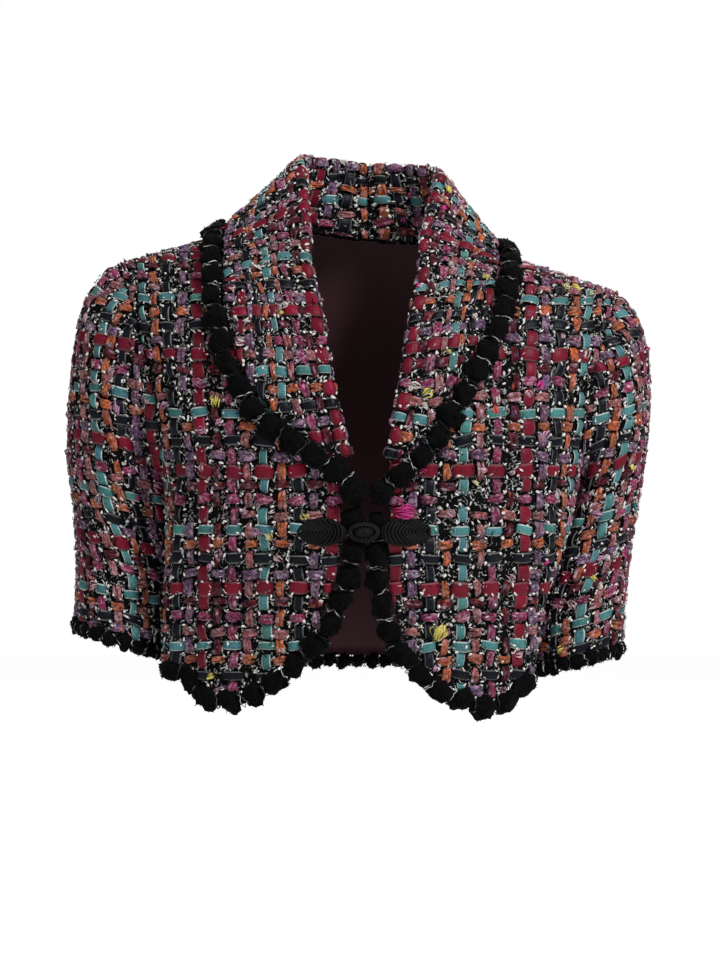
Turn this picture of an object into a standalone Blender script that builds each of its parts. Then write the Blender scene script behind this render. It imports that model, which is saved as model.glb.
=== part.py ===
"""A worn cropped tweed jacket: shawl collar, rounded fronts, elbow sleeves, bobble edging and a frog.

Right and left are the wearer's. +Z is up, the front faces -Y and +X is the wearer's left. The origin is
the middle of the neck base. Tables and functions work in millimetres; MM turns them into metres where
a mesh is made. Every wall is a grid of points on the cloth's outer face, given its thickness inwards.
"""
import math
from collections import namedtuple

import bmesh
import bpy
from mathutils import Vector

MM = 0.001
RIGHT, LEFT = -1, 1
FRONT, BACK = -1, 1
SIDE_NAME = {RIGHT: "right", LEFT: "left"}

# Cloth and edging
WALL = 2.2                  # tweed with its backing
COLLAR_WALL = 2.6           # two layers of tweed
SEAM_DRAW = 0.2             # a panel stops this far short of its shoulder and side seams
ARM_DRAW = 0.65             # panel and sleeve stop this far short of the armhole
NECK_DRAW = 2.1             # the collar's foot stands this far inside the neckline
REST = 0.6                  # gap under or beside a piece that is sewn on
BOBBLE_PITCH = 21.0         # collar and front edging
BOBBLE_HALF = 8.7           # half width of a bobble across the edge
FINE_PITCH = 15.0           # back hem edging
FINE_HALF = 6.0             # back hem and sleeve edging
BOBBLE_FLAT = 0.6           # thickness of the edging over its width
BOBBLE_WAIST = 0.72         # size between two bobbles
BOBBLE_CORNERS = ((-0.9, 0.3), (-0.5, 0.6), (0.0, 0.6), (0.5, 0.6), (0.95, 0.35))    # across, depth
EDGING_DRAW = 1.0           # an edging stops this far short of its ends
MOST_PUSH = 40.0            # the furthest that a piece is moved off the cloth below it

# Panel grids
ARM_ROWS = 13               # rows from shoulder tip to underarm, shared with half a sleeve ring
SIDE_ROWS = 9               # rows from underarm to hem
ROWS = ARM_ROWS + SIDE_ROWS
FRONT_COLUMNS = 18
SHOULDER_COLUMNS = 6
NECK_COLUMNS = 8

# Body sections by height: half widths at the side seams, how far the front stands out before the
# arm on each side, the depths in front of and behind the side seams, and how square the section
# is, 2 for an ellipse and more for a box
Section = namedtuple("Section", "z right left stand_right stand_left front back square")
SECTIONS = (
    Section(20, 204, 206, 0, 0, 96, 90, 3.5),
    Section(-40, 198, 202, 0, 0, 109, 95, 3.3),
    Section(-120, 186, 190, 0, 0, 119, 99, 2.8),
    Section(-205, 162, 169, 4, 3, 124, 97, 2.45),
    Section(-245, 155, 155, 13, 13, 124, 93, 2.4),
    Section(-300, 148, 129, 23, 21, 115, 88, 2.4),
    Section(-350, 149, 119, 24, 22, 107, 85, 2.4),
    Section(-400, 150, 114, 24, 22, 102, 84, 2.4),
)
STAND_START = 35            # degrees from the front where it begins to stand out
STAND_PEAK = 62             # degrees where it stands out most

# Largest folds, as straight lines down the cloth from one end to the other: the distance from the
# line that a fold reaches and its depth, where less than 0 is a ridge
Fold = namedtuple("Fold", "piece side face top_x top_z low_x low_z width depth")
FOLDS = (
    Fold("body", RIGHT, FRONT, -141, -228, -139, -450, 10, 6.5),
    Fold("body", RIGHT, FRONT, -119, -250, -121, -450, 12, -2.5),
    Fold("body", LEFT, FRONT, 111, -236, 116, -450, 11, 4.0),
    Fold("body", RIGHT, BACK, -128, -120, -104, -400, 15, 4.5),
    Fold("body", LEFT, BACK, 121, -135, 96, -430, 16, 4.0),
    Fold("sleeve", RIGHT, FRONT, -183, -130, -172, -345, 15, 9.0),
    Fold("sleeve", RIGHT, FRONT, -214, -90, -193, -260, 14, -3.5),
    Fold("sleeve", LEFT, FRONT, 164, -165, 200, -390, 11, 5.0),
    Fold("sleeve", LEFT, FRONT, 186, -120, 223, -330, 11, 3.0),
    Fold("sleeve", RIGHT, BACK, -176, -180, -222, -300, 14, 4.0),
    Fold("sleeve", LEFT, BACK, 166, -190, 206, -320, 13, 4.5),
)

# Shoulder line, from tip to tip over the neck base
Ridge = namedtuple("Ridge", "x z")
SHOULDERS = (Ridge(-260, -50), Ridge(-198.4, -33), Ridge(-72, 2), Ridge(0, 6), Ridge(72, -14),
             Ridge(202.8, -57), Ridge(260, -76))
NECK_X = 72
TIP_Z = {RIGHT: -33, LEFT: -57}
UNDERARM_Z = -205
ARM_BOW = 9                 # how far the armhole curves in towards the chest
ARM_LEAN = 0.7              # how far the armhole's direction leans outwards at the underarm
ROOF_START = {FRONT: -215, BACK: -130}      # height where the body begins to lean to the shoulders
ROOF_SQUARE = {FRONT: 2.0, BACK: 2.8}

# Lapels from the closure up: the sewn fold on the front and the middle of the edging
Lapel = namedtuple("Lapel", "seam_x seam_z trim_x trim_z")
LAPELS = {
    RIGHT: (
        Lapel(-16, -189, -28, -196),
        Lapel(-21, -172, -42, -186),
        Lapel(-26, -152, -63, -173),
        Lapel(-31, -126, -87, -151),
        Lapel(-35, -98, -105, -124),
        Lapel(-42, -68, -115, -93),
    ),
    LEFT: (
        Lapel(16, -190, 27, -198),
        Lapel(21, -172, 41, -187),
        Lapel(25, -150, 57, -167),
        Lapel(30, -124, 74, -140),
        Lapel(34, -98, 91, -108),
        Lapel(39, -66, 104, -80),
    ),
}
LAPEL_STAND = 5.5
TIP_LIFT = 6.5              # the edging over the fronts past the collar's end
COLLAR_ROLL = 3.8           # radius of the fold
COLLAR_REST = 4.9           # collar's outer face over the cloth that it lies on

# Collar round the neck: neckline seam, top of the roll, middle of the edging and the face it is over
Neck = namedtuple("Neck", "seam_x seam_y roll_x roll_y roll_z trim_x trim_z face")
CENTRE_BACK = Neck(0, 60, 0, 60, 52, 0, -34, BACK)
NECKS = {
    RIGHT: (
        Neck(-50, -64, -46, -70, -36, -121, -62, FRONT),
        Neck(-59, -52, -47, -52, -10, -122, -36, FRONT),
        Neck(-68, -28, -49, -27, 22, -121, -19, FRONT),
        Neck(-NECK_X, 0, -52, 2, 52, -118, -10.8, BACK),
        Neck(-64, 27, -46, 32, 56, -106, -24, BACK),
        Neck(-40, 48, -27, 52, 55, -62, -32, BACK),
        CENTRE_BACK,
    ),
    LEFT: (
        Neck(47, -64, 41, -69, -42, 109, -56, FRONT),
        Neck(58, -52, 43, -52, -16, 111, -41, FRONT),
        Neck(68, -28, 50, -27, 13, 111, -31, FRONT),
        Neck(NECK_X, 0, 57, 2, 41, 107, -25.6, BACK),
        Neck(64, 27, 48, 32, 47, 96, -37, BACK),
        Neck(40, 48, 28, 52, 51, 57, -38, BACK),
        CENTRE_BACK,
    ),
}
COLLAR_STATIONS = 22        # on each side of the centre back
FALL_STEPS = 5
ROLL_STEPS = 4
TIP_PATH = {                # the edging runs on past the collar's end to the closure
    RIGHT: (Ridge(-15, -206), Ridge(-7, -215)),
    LEFT: (Ridge(15, -208), Ridge(7, -216)),
}

# Cloth edge of each front below the lapel: down the opening, then along the rounded hem to the side
EDGES = {
    RIGHT: (Ridge(-17, -210), Ridge(-20.5, -228), Ridge(-21, -256), Ridge(-25, -280), Ridge(-30, -297),
            Ridge(-40, -321)),
    LEFT: (Ridge(16, -212), Ridge(17, -228), Ridge(16.5, -250), Ridge(15.5, -268), Ridge(17, -288),
           Ridge(21, -306), Ridge(30, -335)),
}
HEMS = {
    RIGHT: (Ridge(-40, -321), Ridge(-65, -348), Ridge(-92, -367), Ridge(-108, -373), Ridge(-122, -372),
            Ridge(-134, -363), Ridge(-147, -352)),
    LEFT: (Ridge(30, -335), Ridge(46, -353), Ridge(65, -367), Ridge(82, -374), Ridge(94, -378),
           Ridge(105, -375), Ridge(115, -365)),
}
SIDE_HEM_Z = {RIGHT: -349, LEFT: -352}
CLOSURE_Z = -224            # where the front edging begins
FRONT_HANG = 1.6            # slope of the direction in which it hangs from the cloth

# Sleeve sections from the armhole to the hem: outer and inner line, middle and half depth in Y
Cuff = namedtuple("Cuff", "outer_x outer_z inner_x inner_z middle depth")
SLEEVES = {
    RIGHT: (
        Cuff(198.4, -33, 162, -205, 0, 50),
        Cuff(209, -39, 165.5, -210, 0, 51),
        Cuff(221, -54, 163, -218, 1, 52),
        Cuff(230, -76, 161, -228, 3, 53),
        Cuff(235, -107, 159, -242, 5, 54),
        Cuff(239, -145, 159, -259, 8, 54),
        Cuff(240, -184, 159, -279, 10, 54),
        Cuff(236, -226, 159, -299, 12, 53),
        Cuff(233, -270, 160, -320, 12, 52),
        Cuff(235, -318, 161, -341, 12, 52),
    ),
    LEFT: (
        Cuff(202.8, -57, 169, -205, 0, 50),
        Cuff(211, -66, 173, -210, 0, 51),
        Cuff(219, -82, 169, -219, 1, 52),
        Cuff(224, -104, 164.5, -231, 3, 53),
        Cuff(226, -132, 158.5, -248, 5, 53),
        Cuff(225, -164, 151, -266, 8, 53),
        Cuff(221, -197, 145, -286, 10, 52),
        Cuff(216, -232, 139, -306, 12, 51),
        Cuff(209, -278, 135, -328, 12, 50),
        Cuff(205, -337, 134, -353, 12, 50),
    ),
}
SLEEVE_STEPS = (0, 1, 2, 3, 4, 4.5, 5, 5.5, 6, 6.5, 7, 7.5, 8, 8.5, 9)      # rows with a ring
ARM_BLEND = (1.0, 0.6, 0.3, 0.1)    # how much of the armhole's own curve each section keeps

# Frog
FROG_Z = -246
LEAF_X = {RIGHT: (-54, -16.5), LEFT: (10.5, 48)}
LEAF_HALF = 11.0
LEAF_POINT = {RIGHT: 1.25, LEFT: 0.85}      # above 1 the ends are pointed, below 1 round
LEAF_THICK = 3.6
LEAF_LEVELS = ((1.0, 0.0), (1.0, 0.5), (0.7, 1.0))      # size and share of the thickness
LEAF_SIDES = 18
LEAF_CLIMB = (18.0, 30.0)   # from the middle plane, where a leaf crosses the edging and where it lies flat
OVER_EDGING = 5.2           # what crosses the front edging lies this far over the cloth
LOOP_CENTRE_X = -3.0
LOOP_HALF_X = 11.3
LOOP_HALF_Z = 6.4
LOOP_CORD = 1.9
LOOP_STEPS = 20
LOOP_SIDES = 6
KNOT_X = -3.0
KNOT_HALF = Vector((6.8, 3.0, 4.2))
KNOT_GAP = 0.2

COLOURS = {
    "tweed": (0.10, 0.035, 0.055),
    "chenille": (0.006, 0.006, 0.008),
    "soutache": (0.004, 0.004, 0.005),
}
ROUGHNESS = {"tweed": 0.85, "chenille": 0.95, "soutache": 0.55}


# Curves through tables

def slopes_of(xs, ys):
    """Slopes of the smooth curve through the points that never overshoots them."""
    steps = [(y1 - y0) / (x1 - x0) for x0, x1, y0, y1 in zip(xs, xs[1:], ys, ys[1:])]
    inner = [0.0 if a * b <= 0 else 2 * a * b / (a + b) for a, b in zip(steps, steps[1:])]
    return [steps[0]] + inner + [steps[-1]]


def smooth(xs, ys):
    """A function that reads the smooth curve through (xs, ys), held flat past its ends."""
    slopes = slopes_of(xs, ys)

    def read(x):
        x = min(max(x, xs[0]), xs[-1])
        i = max(k for k in range(len(xs) - 1) if xs[k] <= x)
        width = xs[i + 1] - xs[i]
        t = (x - xs[i]) / width
        start = (2 * t - 3) * t * t + 1
        return (start * ys[i] + (1 - start) * ys[i + 1]
                + ((t - 2) * t + 1) * t * width * slopes[i]
                + (t - 1) * t * t * width * slopes[i + 1])

    return read


def column(table, name, along="z"):
    """The smooth curve of one column of a table over another."""
    rows = sorted(table, key=lambda row: getattr(row, along))
    return smooth([getattr(row, along) for row in rows], [getattr(row, name) for row in rows])


def path(points):
    """A function of 0 to 1, by length, along the smooth curve through points of any dimension."""
    reach = [0.0]
    for a, b in zip(points, points[1:]):
        reach.append(reach[-1] + math.dist(a, b))
    xs = [length / reach[-1] for length in reach]
    readers = [smooth(xs, [point[axis] for point in points]) for axis in range(len(points[0]))]
    return lambda t: Vector([read(t) for read in readers])


def line_through(ridge, x):
    """Height of a run of straight lines at x."""
    for a, b in zip(ridge, ridge[1:]):
        if x <= b.x:
            return a.z + (b.z - a.z) * (x - a.x) / (b.x - a.x)
    return ridge[-1].z


def mix(a, b, t):
    return a + (b - a) * t


def ease(t):
    t = min(max(t, 0.0), 1.0)
    return t * t * (3 - 2 * t)


# The body's surface

SEAM_X = {RIGHT: column(SECTIONS, "right"), LEFT: column(SECTIONS, "left")}
STAND_OUT = {RIGHT: column(SECTIONS, "stand_right"), LEFT: column(SECTIONS, "stand_left")}
DEPTH = {FRONT: column(SECTIONS, "front"), BACK: column(SECTIONS, "back")}
SQUARE = column(SECTIONS, "square")


def side_of(x):
    return LEFT if x >= 0 else RIGHT


def fold_depth(piece, side, face, x, z):
    """How far the folds of a piece draw its cloth in at a place in the front or back view."""
    depth = 0.0
    for fold in FOLDS:
        if (fold.piece, fold.side, fold.face) != (piece, side, face):
            continue
        run_x, run_z = fold.low_x - fold.top_x, fold.low_z - fold.top_z
        length = math.hypot(run_x, run_z)
        along = ((x - fold.top_x) * run_x + (z - fold.top_z) * run_z) / length ** 2
        across = ((x - fold.top_x) * run_z - (z - fold.top_z) * run_x) / length
        if 0 < along < 1:
            depth += fold.depth * math.sin(math.pi * along) * math.exp(-(across / fold.width) ** 2)
    return depth


def roof(x, z, face):
    """1 below the chest, falling to 0 at the shoulder line."""
    start = ROOF_START[face]
    if z <= start:
        return 1.0
    rise = min((z - start) / (line_through(SHOULDERS, x) - start), 1.0)
    return (1 - rise ** ROOF_SQUARE[face]) ** (1 / ROOF_SQUARE[face])


def half_width(angle, z, face):
    """Distance from the middle plane at an angle of 0 (centre) to 90 (side seam)."""
    side = side_of(angle)
    turn = min(abs(angle), 90)
    x = SEAM_X[side](z) * math.sin(math.radians(turn)) ** (2 / SQUARE(z))
    if face == FRONT and turn > STAND_START:
        swell = math.sin(math.pi * (turn - STAND_START) / (90 - STAND_START)) ** 2
        x += STAND_OUT[side](z) * swell
    return x


def body(angle, z, face):
    """Outer face of the cloth at an angle from the centre and a height."""
    side = side_of(angle)
    x = side * half_width(angle, z, face)
    around = math.cos(math.radians(min(abs(angle), 90))) ** (2 / SQUARE(z))
    y = DEPTH[face](z) * around * roof(x, z, face) - fold_depth("body", side, face, x, z) * around
    return Vector((x, face * y, z))


def angle_at(x, z, face):
    """The angle whose half width is that of x."""
    low, high = 0.0, 90.0 if z > UNDERARM_Z else STAND_PEAK
    for _ in range(30):
        middle = (low + high) / 2
        if half_width(side_of(x) * middle, z, face) < abs(x):
            low = middle
        else:
            high = middle
    return side_of(x) * low


def body_at(x, z, face):
    return body(angle_at(x, z, face), z, face)


def height_at(x, y, face):
    """Height of the body's face over a plan position near the shoulders."""
    low, high = ROOF_START[face], line_through(SHOULDERS, x)
    for _ in range(30):
        middle = (low + high) / 2
        if abs(body_at(x, middle, face).y) > abs(y):
            low = middle
        else:
            high = middle
    return low


def fullness(point, face):
    """0 on the body's face, less inside and more outside, smooth over the shoulder line."""
    x, y, z = point
    side = side_of(x)
    across = max(1 - min(abs(x) / SEAM_X[side](z), 0.999) ** SQUARE(z), 0.0) ** (1 / SQUARE(z))
    power = ROOF_SQUARE[face]
    start = ROOF_START[face]
    rise = max((z - start) / (line_through(SHOULDERS, x) - start), 0.0)
    return (abs(y) / (DEPTH[face](z) * across)) ** power + rise ** power - 1


def face_of(point):
    return FRONT if point[1] < 0 else BACK


def body_normal(point, face):
    """Outward direction of the body's face."""
    step = 1.5
    slope = []
    for axis in range(3):
        shift = Vector([step if k == axis else 0.0 for k in range(3)])
        slope.append(fullness(point + shift, face) - fullness(point - shift, face))
    return Vector(slope).normalized()


def over_body(x, z, face, lift):
    """A point that lies over the body by a distance."""
    point = body_at(x, z, face)
    return point + body_normal(point, face) * lift


# Walls

Wall = namedtuple("Wall", "points normals")


def grid_normals(points, out, closed=False):
    """Normals of a grid of rows, on the side where out(row, column) says that the outside is."""
    rows, columns = len(points), len(points[0])
    normals = []
    for i in range(rows):
        up, down = points[max(i - 1, 0)], points[min(i + 1, rows - 1)]
        line = []
        for j in range(columns):
            before = (j - 1) % columns if closed else max(j - 1, 0)
            after = (j + 1) % columns if closed else min(j + 1, columns - 1)
            across = points[i][after] - points[i][before]
            line.append(across.cross(down[j] - up[j]).normalized())
        normals.append(line)
    i, j = rows // 2, columns // 2
    turn = 1 if normals[i][j].dot(out(i, j)) > 0 else -1
    return [[normal * turn for normal in line] for line in normals]


def set_material(obj, kind):
    material = bpy.data.materials.new(f"{obj.name}_{kind}")
    material.use_nodes = True
    shader = material.node_tree.nodes["Principled BSDF"]
    shader.inputs["Base Color"].default_value = (*COLOURS[kind], 1.0)
    shader.inputs["Roughness"].default_value = ROUGHNESS[kind]
    shader.inputs["Metallic"].default_value = 0.0
    obj.data.materials.append(material)


def add_object(name, mesh_data, kind):
    bmesh.ops.recalc_face_normals(mesh_data, faces=mesh_data.faces)
    if mesh_data.calc_volume(signed=True) < 0:
        bmesh.ops.reverse_faces(mesh_data, faces=mesh_data.faces)
    bmesh.ops.triangulate(mesh_data, faces=mesh_data.faces)
    mesh = bpy.data.meshes.new(name)
    mesh_data.to_mesh(mesh)
    mesh_data.free()
    obj = bpy.data.objects.new(name, mesh)
    bpy.context.scene.collection.objects.link(obj)
    set_material(obj, kind)
    mesh.shade_smooth()
    mesh.set_sharp_from_angle(angle=math.radians(45))
    return obj


def add_wall(name, wall, thickness, closed=False):
    """A closed solid between a grid of outer points and the same grid moved inwards."""
    rows, columns = len(wall.points), len(wall.points[0])
    shell = bmesh.new()
    outer = [[shell.verts.new(p * MM) for p in line] for line in wall.points]
    inner = [[shell.verts.new((p - n * thickness) * MM) for p, n in zip(line, directions)]
             for line, directions in zip(wall.points, wall.normals)]
    spans = columns if closed else columns - 1
    for i in range(rows - 1):
        for j in range(spans):
            k = (j + 1) % columns
            shell.faces.new((outer[i][j], outer[i + 1][j], outer[i + 1][k], outer[i][k]))
            shell.faces.new((inner[i][k], inner[i + 1][k], inner[i + 1][j], inner[i][j]))
    for i in (0, rows - 1):
        for j in range(spans):
            k = (j + 1) % columns
            shell.faces.new((outer[i][j], outer[i][k], inner[i][k], inner[i][j]))
    if not closed:
        for j in (0, columns - 1):
            for i in range(rows - 1):
                shell.faces.new((outer[i][j], outer[i + 1][j], inner[i + 1][j], inner[i][j]))
    return add_object(name, shell, "tweed")


# Armholes and seams

def armhole(side, turn, face):
    """Point of the armhole, 0 at the shoulder tip and 180 at the underarm."""
    down = (1 - math.cos(math.radians(turn))) / 2
    z = mix(TIP_Z[side], UNDERARM_Z, down)
    if turn in (0, 180):
        return Vector((side * SEAM_X[side](z), 0.0, z))
    bow = ARM_BOW * math.sin(math.radians(turn)) ** 2
    x = mix(SEAM_X[side](TIP_Z[side]), SEAM_X[side](UNDERARM_Z), down) - bow
    return body_at(side * x, z, face)


def armhole_normal(side, turn, face):
    """Direction of the cloth's thickness along the armhole, the same for body and sleeve."""
    angle = math.radians(turn)
    out = ARM_LEAN * math.sin(angle / 2) ** 2
    return Vector((side * out, face * math.sin(angle), math.cos(angle))).normalized()


def ridge_normal(side):
    """Upward direction square to one shoulder line."""
    neck = line_through(SHOULDERS, side * NECK_X)
    run = SEAM_X[side](TIP_Z[side]) - NECK_X
    return Vector((side * (neck - TIP_Z[side]), 0, run)).normalized()


def pair_of(point, face):
    """(angle, height) of a point on the body."""
    return Vector((angle_at(point[0], point[2], face), point[2]))


def side_line(side, face):
    """(angle, height) down a panel's outer edge: the armhole, then the side seam."""
    line = []
    for step in range(ARM_ROWS + 1):
        point = armhole(side, 180 * step / ARM_ROWS, face)
        at_side = step in (0, ARM_ROWS)
        line.append(Vector((side * 90.0, point.z)) if at_side else pair_of(point, face))
    for step in range(1, SIDE_ROWS + 1):
        line.append(Vector((side * 90.0, mix(UNDERARM_Z, SIDE_HEM_Z[side], step / SIDE_ROWS))))
    return line


def neck_face(row):
    return FRONT if row.seam_y < 0 else BACK


def neck_seam(side):
    """Points of the collar seam from the end of the lapel up to the shoulder, and on to the back."""
    lapel = [body_at(row.seam_x, row.seam_z, FRONT) for row in LAPELS[side]]
    neck = [Vector((row.seam_x, row.seam_y, height_at(row.seam_x, row.seam_y, neck_face(row))))
            for row in NECKS[side]]
    at_shoulder = next(k for k, row in enumerate(NECKS[side]) if row.seam_y >= 0)
    return lapel + neck[:at_shoulder + 1], neck[at_shoulder:]


def sample(points, count):
    read = path(points)
    return [read(k / count) for k in range(count + 1)]


def patch(top, low, first, last):
    """(angle, height) of every point of a panel, blended from its four edges."""
    rows, columns = len(first), len(top)
    grid = []
    for i in range(rows):
        v = i / (rows - 1)
        line = []
        for j in range(columns):
            u = j / (columns - 1)
            ends = mix(mix(top[0], top[-1], u), mix(low[0], low[-1], u), v)
            line.append(mix(first[i], last[i], u) + mix(top[j], low[j], v) - ends)
        grid.append(line)
    return grid


def finish_side(wall, column_index, side, face):
    """Gives a panel's outer edge the directions of its seams and draws it back from them."""
    inside = column_index + 1 if column_index == 0 else column_index - 1
    for i, line in enumerate(wall.points):
        if i <= ARM_ROWS:
            wall.normals[i][column_index] = armhole_normal(side, 180 * i / ARM_ROWS, face)
            inward = (line[inside] - line[column_index]).normalized()
            line[column_index] = line[column_index] + inward * ARM_DRAW
        else:
            wall.normals[i][column_index] = Vector((side, 0, 0))
        if i >= ARM_ROWS:
            line[column_index].y = face * SEAM_DRAW


def finish_shoulder(wall, columns, side, face):
    """The same for the columns of a panel that end at one shoulder line."""
    for j in columns:
        wall.points[0][j].y = face * SEAM_DRAW
        wall.normals[0][j] = ridge_normal(side)


def panel(grid, face):
    points = [[body(pair[0], pair[1], face) for pair in line] for line in grid]
    return Wall(points, grid_normals(points, lambda i, j: Vector((0, face, 0))))


def opening_edge(side):
    """The front's cloth edge from the shoulder, down the neckline and lapel, to the rounded corner."""
    up_to_shoulder, _ = neck_seam(side)
    return list(reversed(up_to_shoulder)) + [body_at(row.x, row.z, FRONT) for row in EDGES[side]]


def hem_pairs(side, count):
    """(angle, height) along a front's hem, from the corner to the side seam."""
    rows = [Vector((angle_at(row.x, row.z, FRONT), row.z)) for row in HEMS[side]]
    return sample(rows + [Vector((side * 90.0, SIDE_HEM_Z[side]))], count)


def front_panel(side):
    first = [pair_of(point, FRONT) for point in sample(opening_edge(side), ROWS)]
    last = side_line(side, FRONT)
    top = []
    for j in range(FRONT_COLUMNS + 1):
        x = side * mix(NECK_X, SEAM_X[side](TIP_Z[side]), j / FRONT_COLUMNS)
        z = line_through(SHOULDERS, x)
        top.append(Vector((angle_at(x, z, FRONT), z)))
    low = hem_pairs(side, FRONT_COLUMNS)
    top[-1], first[0], first[-1] = last[0], top[0], low[0]
    wall = panel(patch(top, low, first, last), FRONT)
    finish_shoulder(wall, range(FRONT_COLUMNS + 1), side, FRONT)
    finish_side(wall, FRONT_COLUMNS, side, FRONT)
    return wall


def back_panel():
    shoulder = {}
    for side in (RIGHT, LEFT):
        tip_x = SEAM_X[side](TIP_Z[side])
        rows = []
        for j in range(SHOULDER_COLUMNS + 1):
            x = side * mix(tip_x, NECK_X, j / SHOULDER_COLUMNS)
            z = line_through(SHOULDERS, x)
            rows.append(Vector((angle_at(x, z, BACK), z)))
        rows[0] = Vector((side * 90.0, TIP_Z[side]))
        shoulder[side] = rows
    _, right_neck = neck_seam(RIGHT)
    _, left_neck = neck_seam(LEFT)
    neckline = sample(right_neck + list(reversed(left_neck))[1:], NECK_COLUMNS)
    neck = [pair_of(point, BACK) for point in neckline[1:-1]]
    top = shoulder[RIGHT] + neck + list(reversed(shoulder[LEFT]))
    columns = len(top) - 1
    low = [Vector((mix(-90.0, 90.0, j / columns), mix(SIDE_HEM_Z[RIGHT], SIDE_HEM_Z[LEFT], j / columns)))
           for j in range(columns + 1)]
    wall = panel(patch(top, low, side_line(RIGHT, BACK), side_line(LEFT, BACK)), BACK)
    finish_shoulder(wall, range(SHOULDER_COLUMNS + 1), RIGHT, BACK)
    finish_shoulder(wall, range(columns - SHOULDER_COLUMNS, columns + 1), LEFT, BACK)
    finish_side(wall, 0, RIGHT, BACK)
    finish_side(wall, columns, LEFT, BACK)
    return wall


# Sleeves

def cuff_reader(side):
    """A function of the row number that reads a sleeve's sections between the rows."""
    numbers = list(range(len(SLEEVES[side])))
    readers = [smooth(numbers, [row[k] for row in SLEEVES[side]]) for k in range(len(Cuff._fields))]
    return lambda t: Cuff(*[read(t) for read in readers])


def oval(side, cuff, turn, face):
    """Point of a sleeve section, 0 on the outer line and 180 on the inner one."""
    outer = Vector((side * cuff.outer_x, cuff.middle, cuff.outer_z))
    inner = Vector((side * cuff.inner_x, cuff.middle, cuff.inner_z))
    angle = math.radians(turn)
    return mix(inner, outer, (1 + math.cos(angle)) / 2) + Vector((0, face * cuff.depth * math.sin(angle), 0))


def ring_places():
    """(turn, face) round a sleeve, down its front and up its back."""
    front = [(180 * k / ARM_ROWS, FRONT) for k in range(ARM_ROWS + 1)]
    back = [(180 * k / ARM_ROWS, BACK) for k in range(ARM_ROWS - 1, 0, -1)]
    return front + back


def sleeve_rings(side):
    read = cuff_reader(side)
    keep = smooth(list(range(len(ARM_BLEND) + 1)), list(ARM_BLEND) + [0.0])
    rings = []
    for t in SLEEVE_STEPS:
        ring = []
        for turn, face in ring_places():
            own = armhole(side, turn, face) - oval(side, read(0), turn, face)
            point = oval(side, read(t), turn, face) + own * keep(t)
            point.y -= face * fold_depth("sleeve", side, face, point.x, point.z) * ease(t)
            ring.append(point)
        rings.append(ring)
    return rings


def sleeve(side):
    rings = sleeve_rings(side)
    centres = [sum(ring, Vector()) / len(ring) for ring in rings]
    normals = grid_normals(rings, lambda i, j: rings[i][j] - centres[i], closed=True)
    normals[0] = [armhole_normal(side, turn, face) for turn, face in ring_places()]
    rings[0] = [p + (q - p).normalized() * ARM_DRAW for p, q in zip(rings[0], rings[1])]
    return Wall(rings, normals)


# Collar

def collar_reader(side):
    """A function of 0 to 1, lapel end to centre back: seam, top of the roll and edging points."""
    rows = []
    front_seam, back_seam = neck_seam(side)
    seam = front_seam + back_seam[1:]
    for k, row in enumerate(LAPELS[side]):
        roll = seam[k] + body_normal(seam[k], FRONT) * LAPEL_STAND
        rows.append((*seam[k], *roll, *body_at(row.trim_x, row.trim_z, FRONT)))
    for point, row in zip(seam[len(LAPELS[side]):], NECKS[side]):
        rows.append((*point, row.roll_x, row.roll_y, row.roll_z, *body_at(row.trim_x, row.trim_z, row.face)))
    read = path(rows)

    def at(t):
        values = read(t)
        return Vector(values[0:3]), Vector(values[3:6]), Vector(values[6:9])

    return at


def push_off_body(point, out, distance):
    """How far a point moves out to lie at a distance over the body."""
    low, high = 0.0, MOST_PUSH
    for _ in range(24):
        middle = (low + high) / 2
        test = point + out * (middle - distance)
        if fullness(test, face_of(test)) < 0 and test.z < line_through(SHOULDERS, test.x):
            low = middle
        else:
            high = middle
    return high if high > 0.01 else 0.0


def collar_section(at, t):
    """Outer points across the collar: up the stand, over the roll and down the fall."""
    seam, roll, edging = at(t)
    face = face_of(seam)
    normal = body_normal(seam, face)
    along = (at(min(t + 0.01, 1.0))[0] - at(max(t - 0.01, 0.0))[0]).normalized()
    away = normal.cross(along).normalized()
    away = away if away.dot(edging - seam) > 0 else -away
    foot = seam - away * (COLLAR_WALL + NECK_DRAW) - normal * WALL

    up = (roll - seam).normalized()
    level = edging + body_normal(edging, face_of(edging)) * COLLAR_REST
    out = level - roll
    edge = level - out.normalized() * (BOBBLE_HALF + REST)
    out = (out - up * out.dot(up)).normalized()
    centre = roll - up * COLLAR_ROLL

    def seen(point):
        """Angle and distance of a point round the roll's centre."""
        flat = Vector(((point - centre).dot(out), (point - centre).dot(up)))
        return math.atan2(flat.y, flat.x), max(flat.length, COLLAR_ROLL + 0.01)

    foot_angle, foot_reach = seen(foot)
    edge_angle, edge_reach = seen(edge)
    start = foot_angle % math.tau - math.acos(COLLAR_ROLL / foot_reach)
    end = edge_angle + math.acos(COLLAR_ROLL / edge_reach)
    arc = []
    for k in range(ROLL_STEPS + 1):
        angle = mix(start, end, k / ROLL_STEPS)
        arc.append(centre + (out * math.cos(angle) + up * math.sin(angle)) * COLLAR_ROLL)
    run = edge - arc[-1]
    lift = (up * run.dot(out) - out * run.dot(up)).normalized()
    fall = []
    for k in range(1, FALL_STEPS + 1):
        point = arc[-1] + run * (k / FALL_STEPS)
        fall.append(point + lift * push_off_body(point, lift, COLLAR_REST))
    return [foot, mix(foot, arc[0], 0.5)] + arc + fall


def collar():
    right, left = collar_reader(RIGHT), collar_reader(LEFT)
    stations = [collar_section(right, k / COLLAR_STATIONS) for k in range(COLLAR_STATIONS + 1)]
    stations += [collar_section(left, k / COLLAR_STATIONS) for k in range(COLLAR_STATIONS - 1, -1, -1)]
    return Wall(stations, grid_normals(stations, lambda i, j: Vector((0, 1, 0.3))))


# Edging

Frame = namedtuple("Frame", "centre across normal half")


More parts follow.
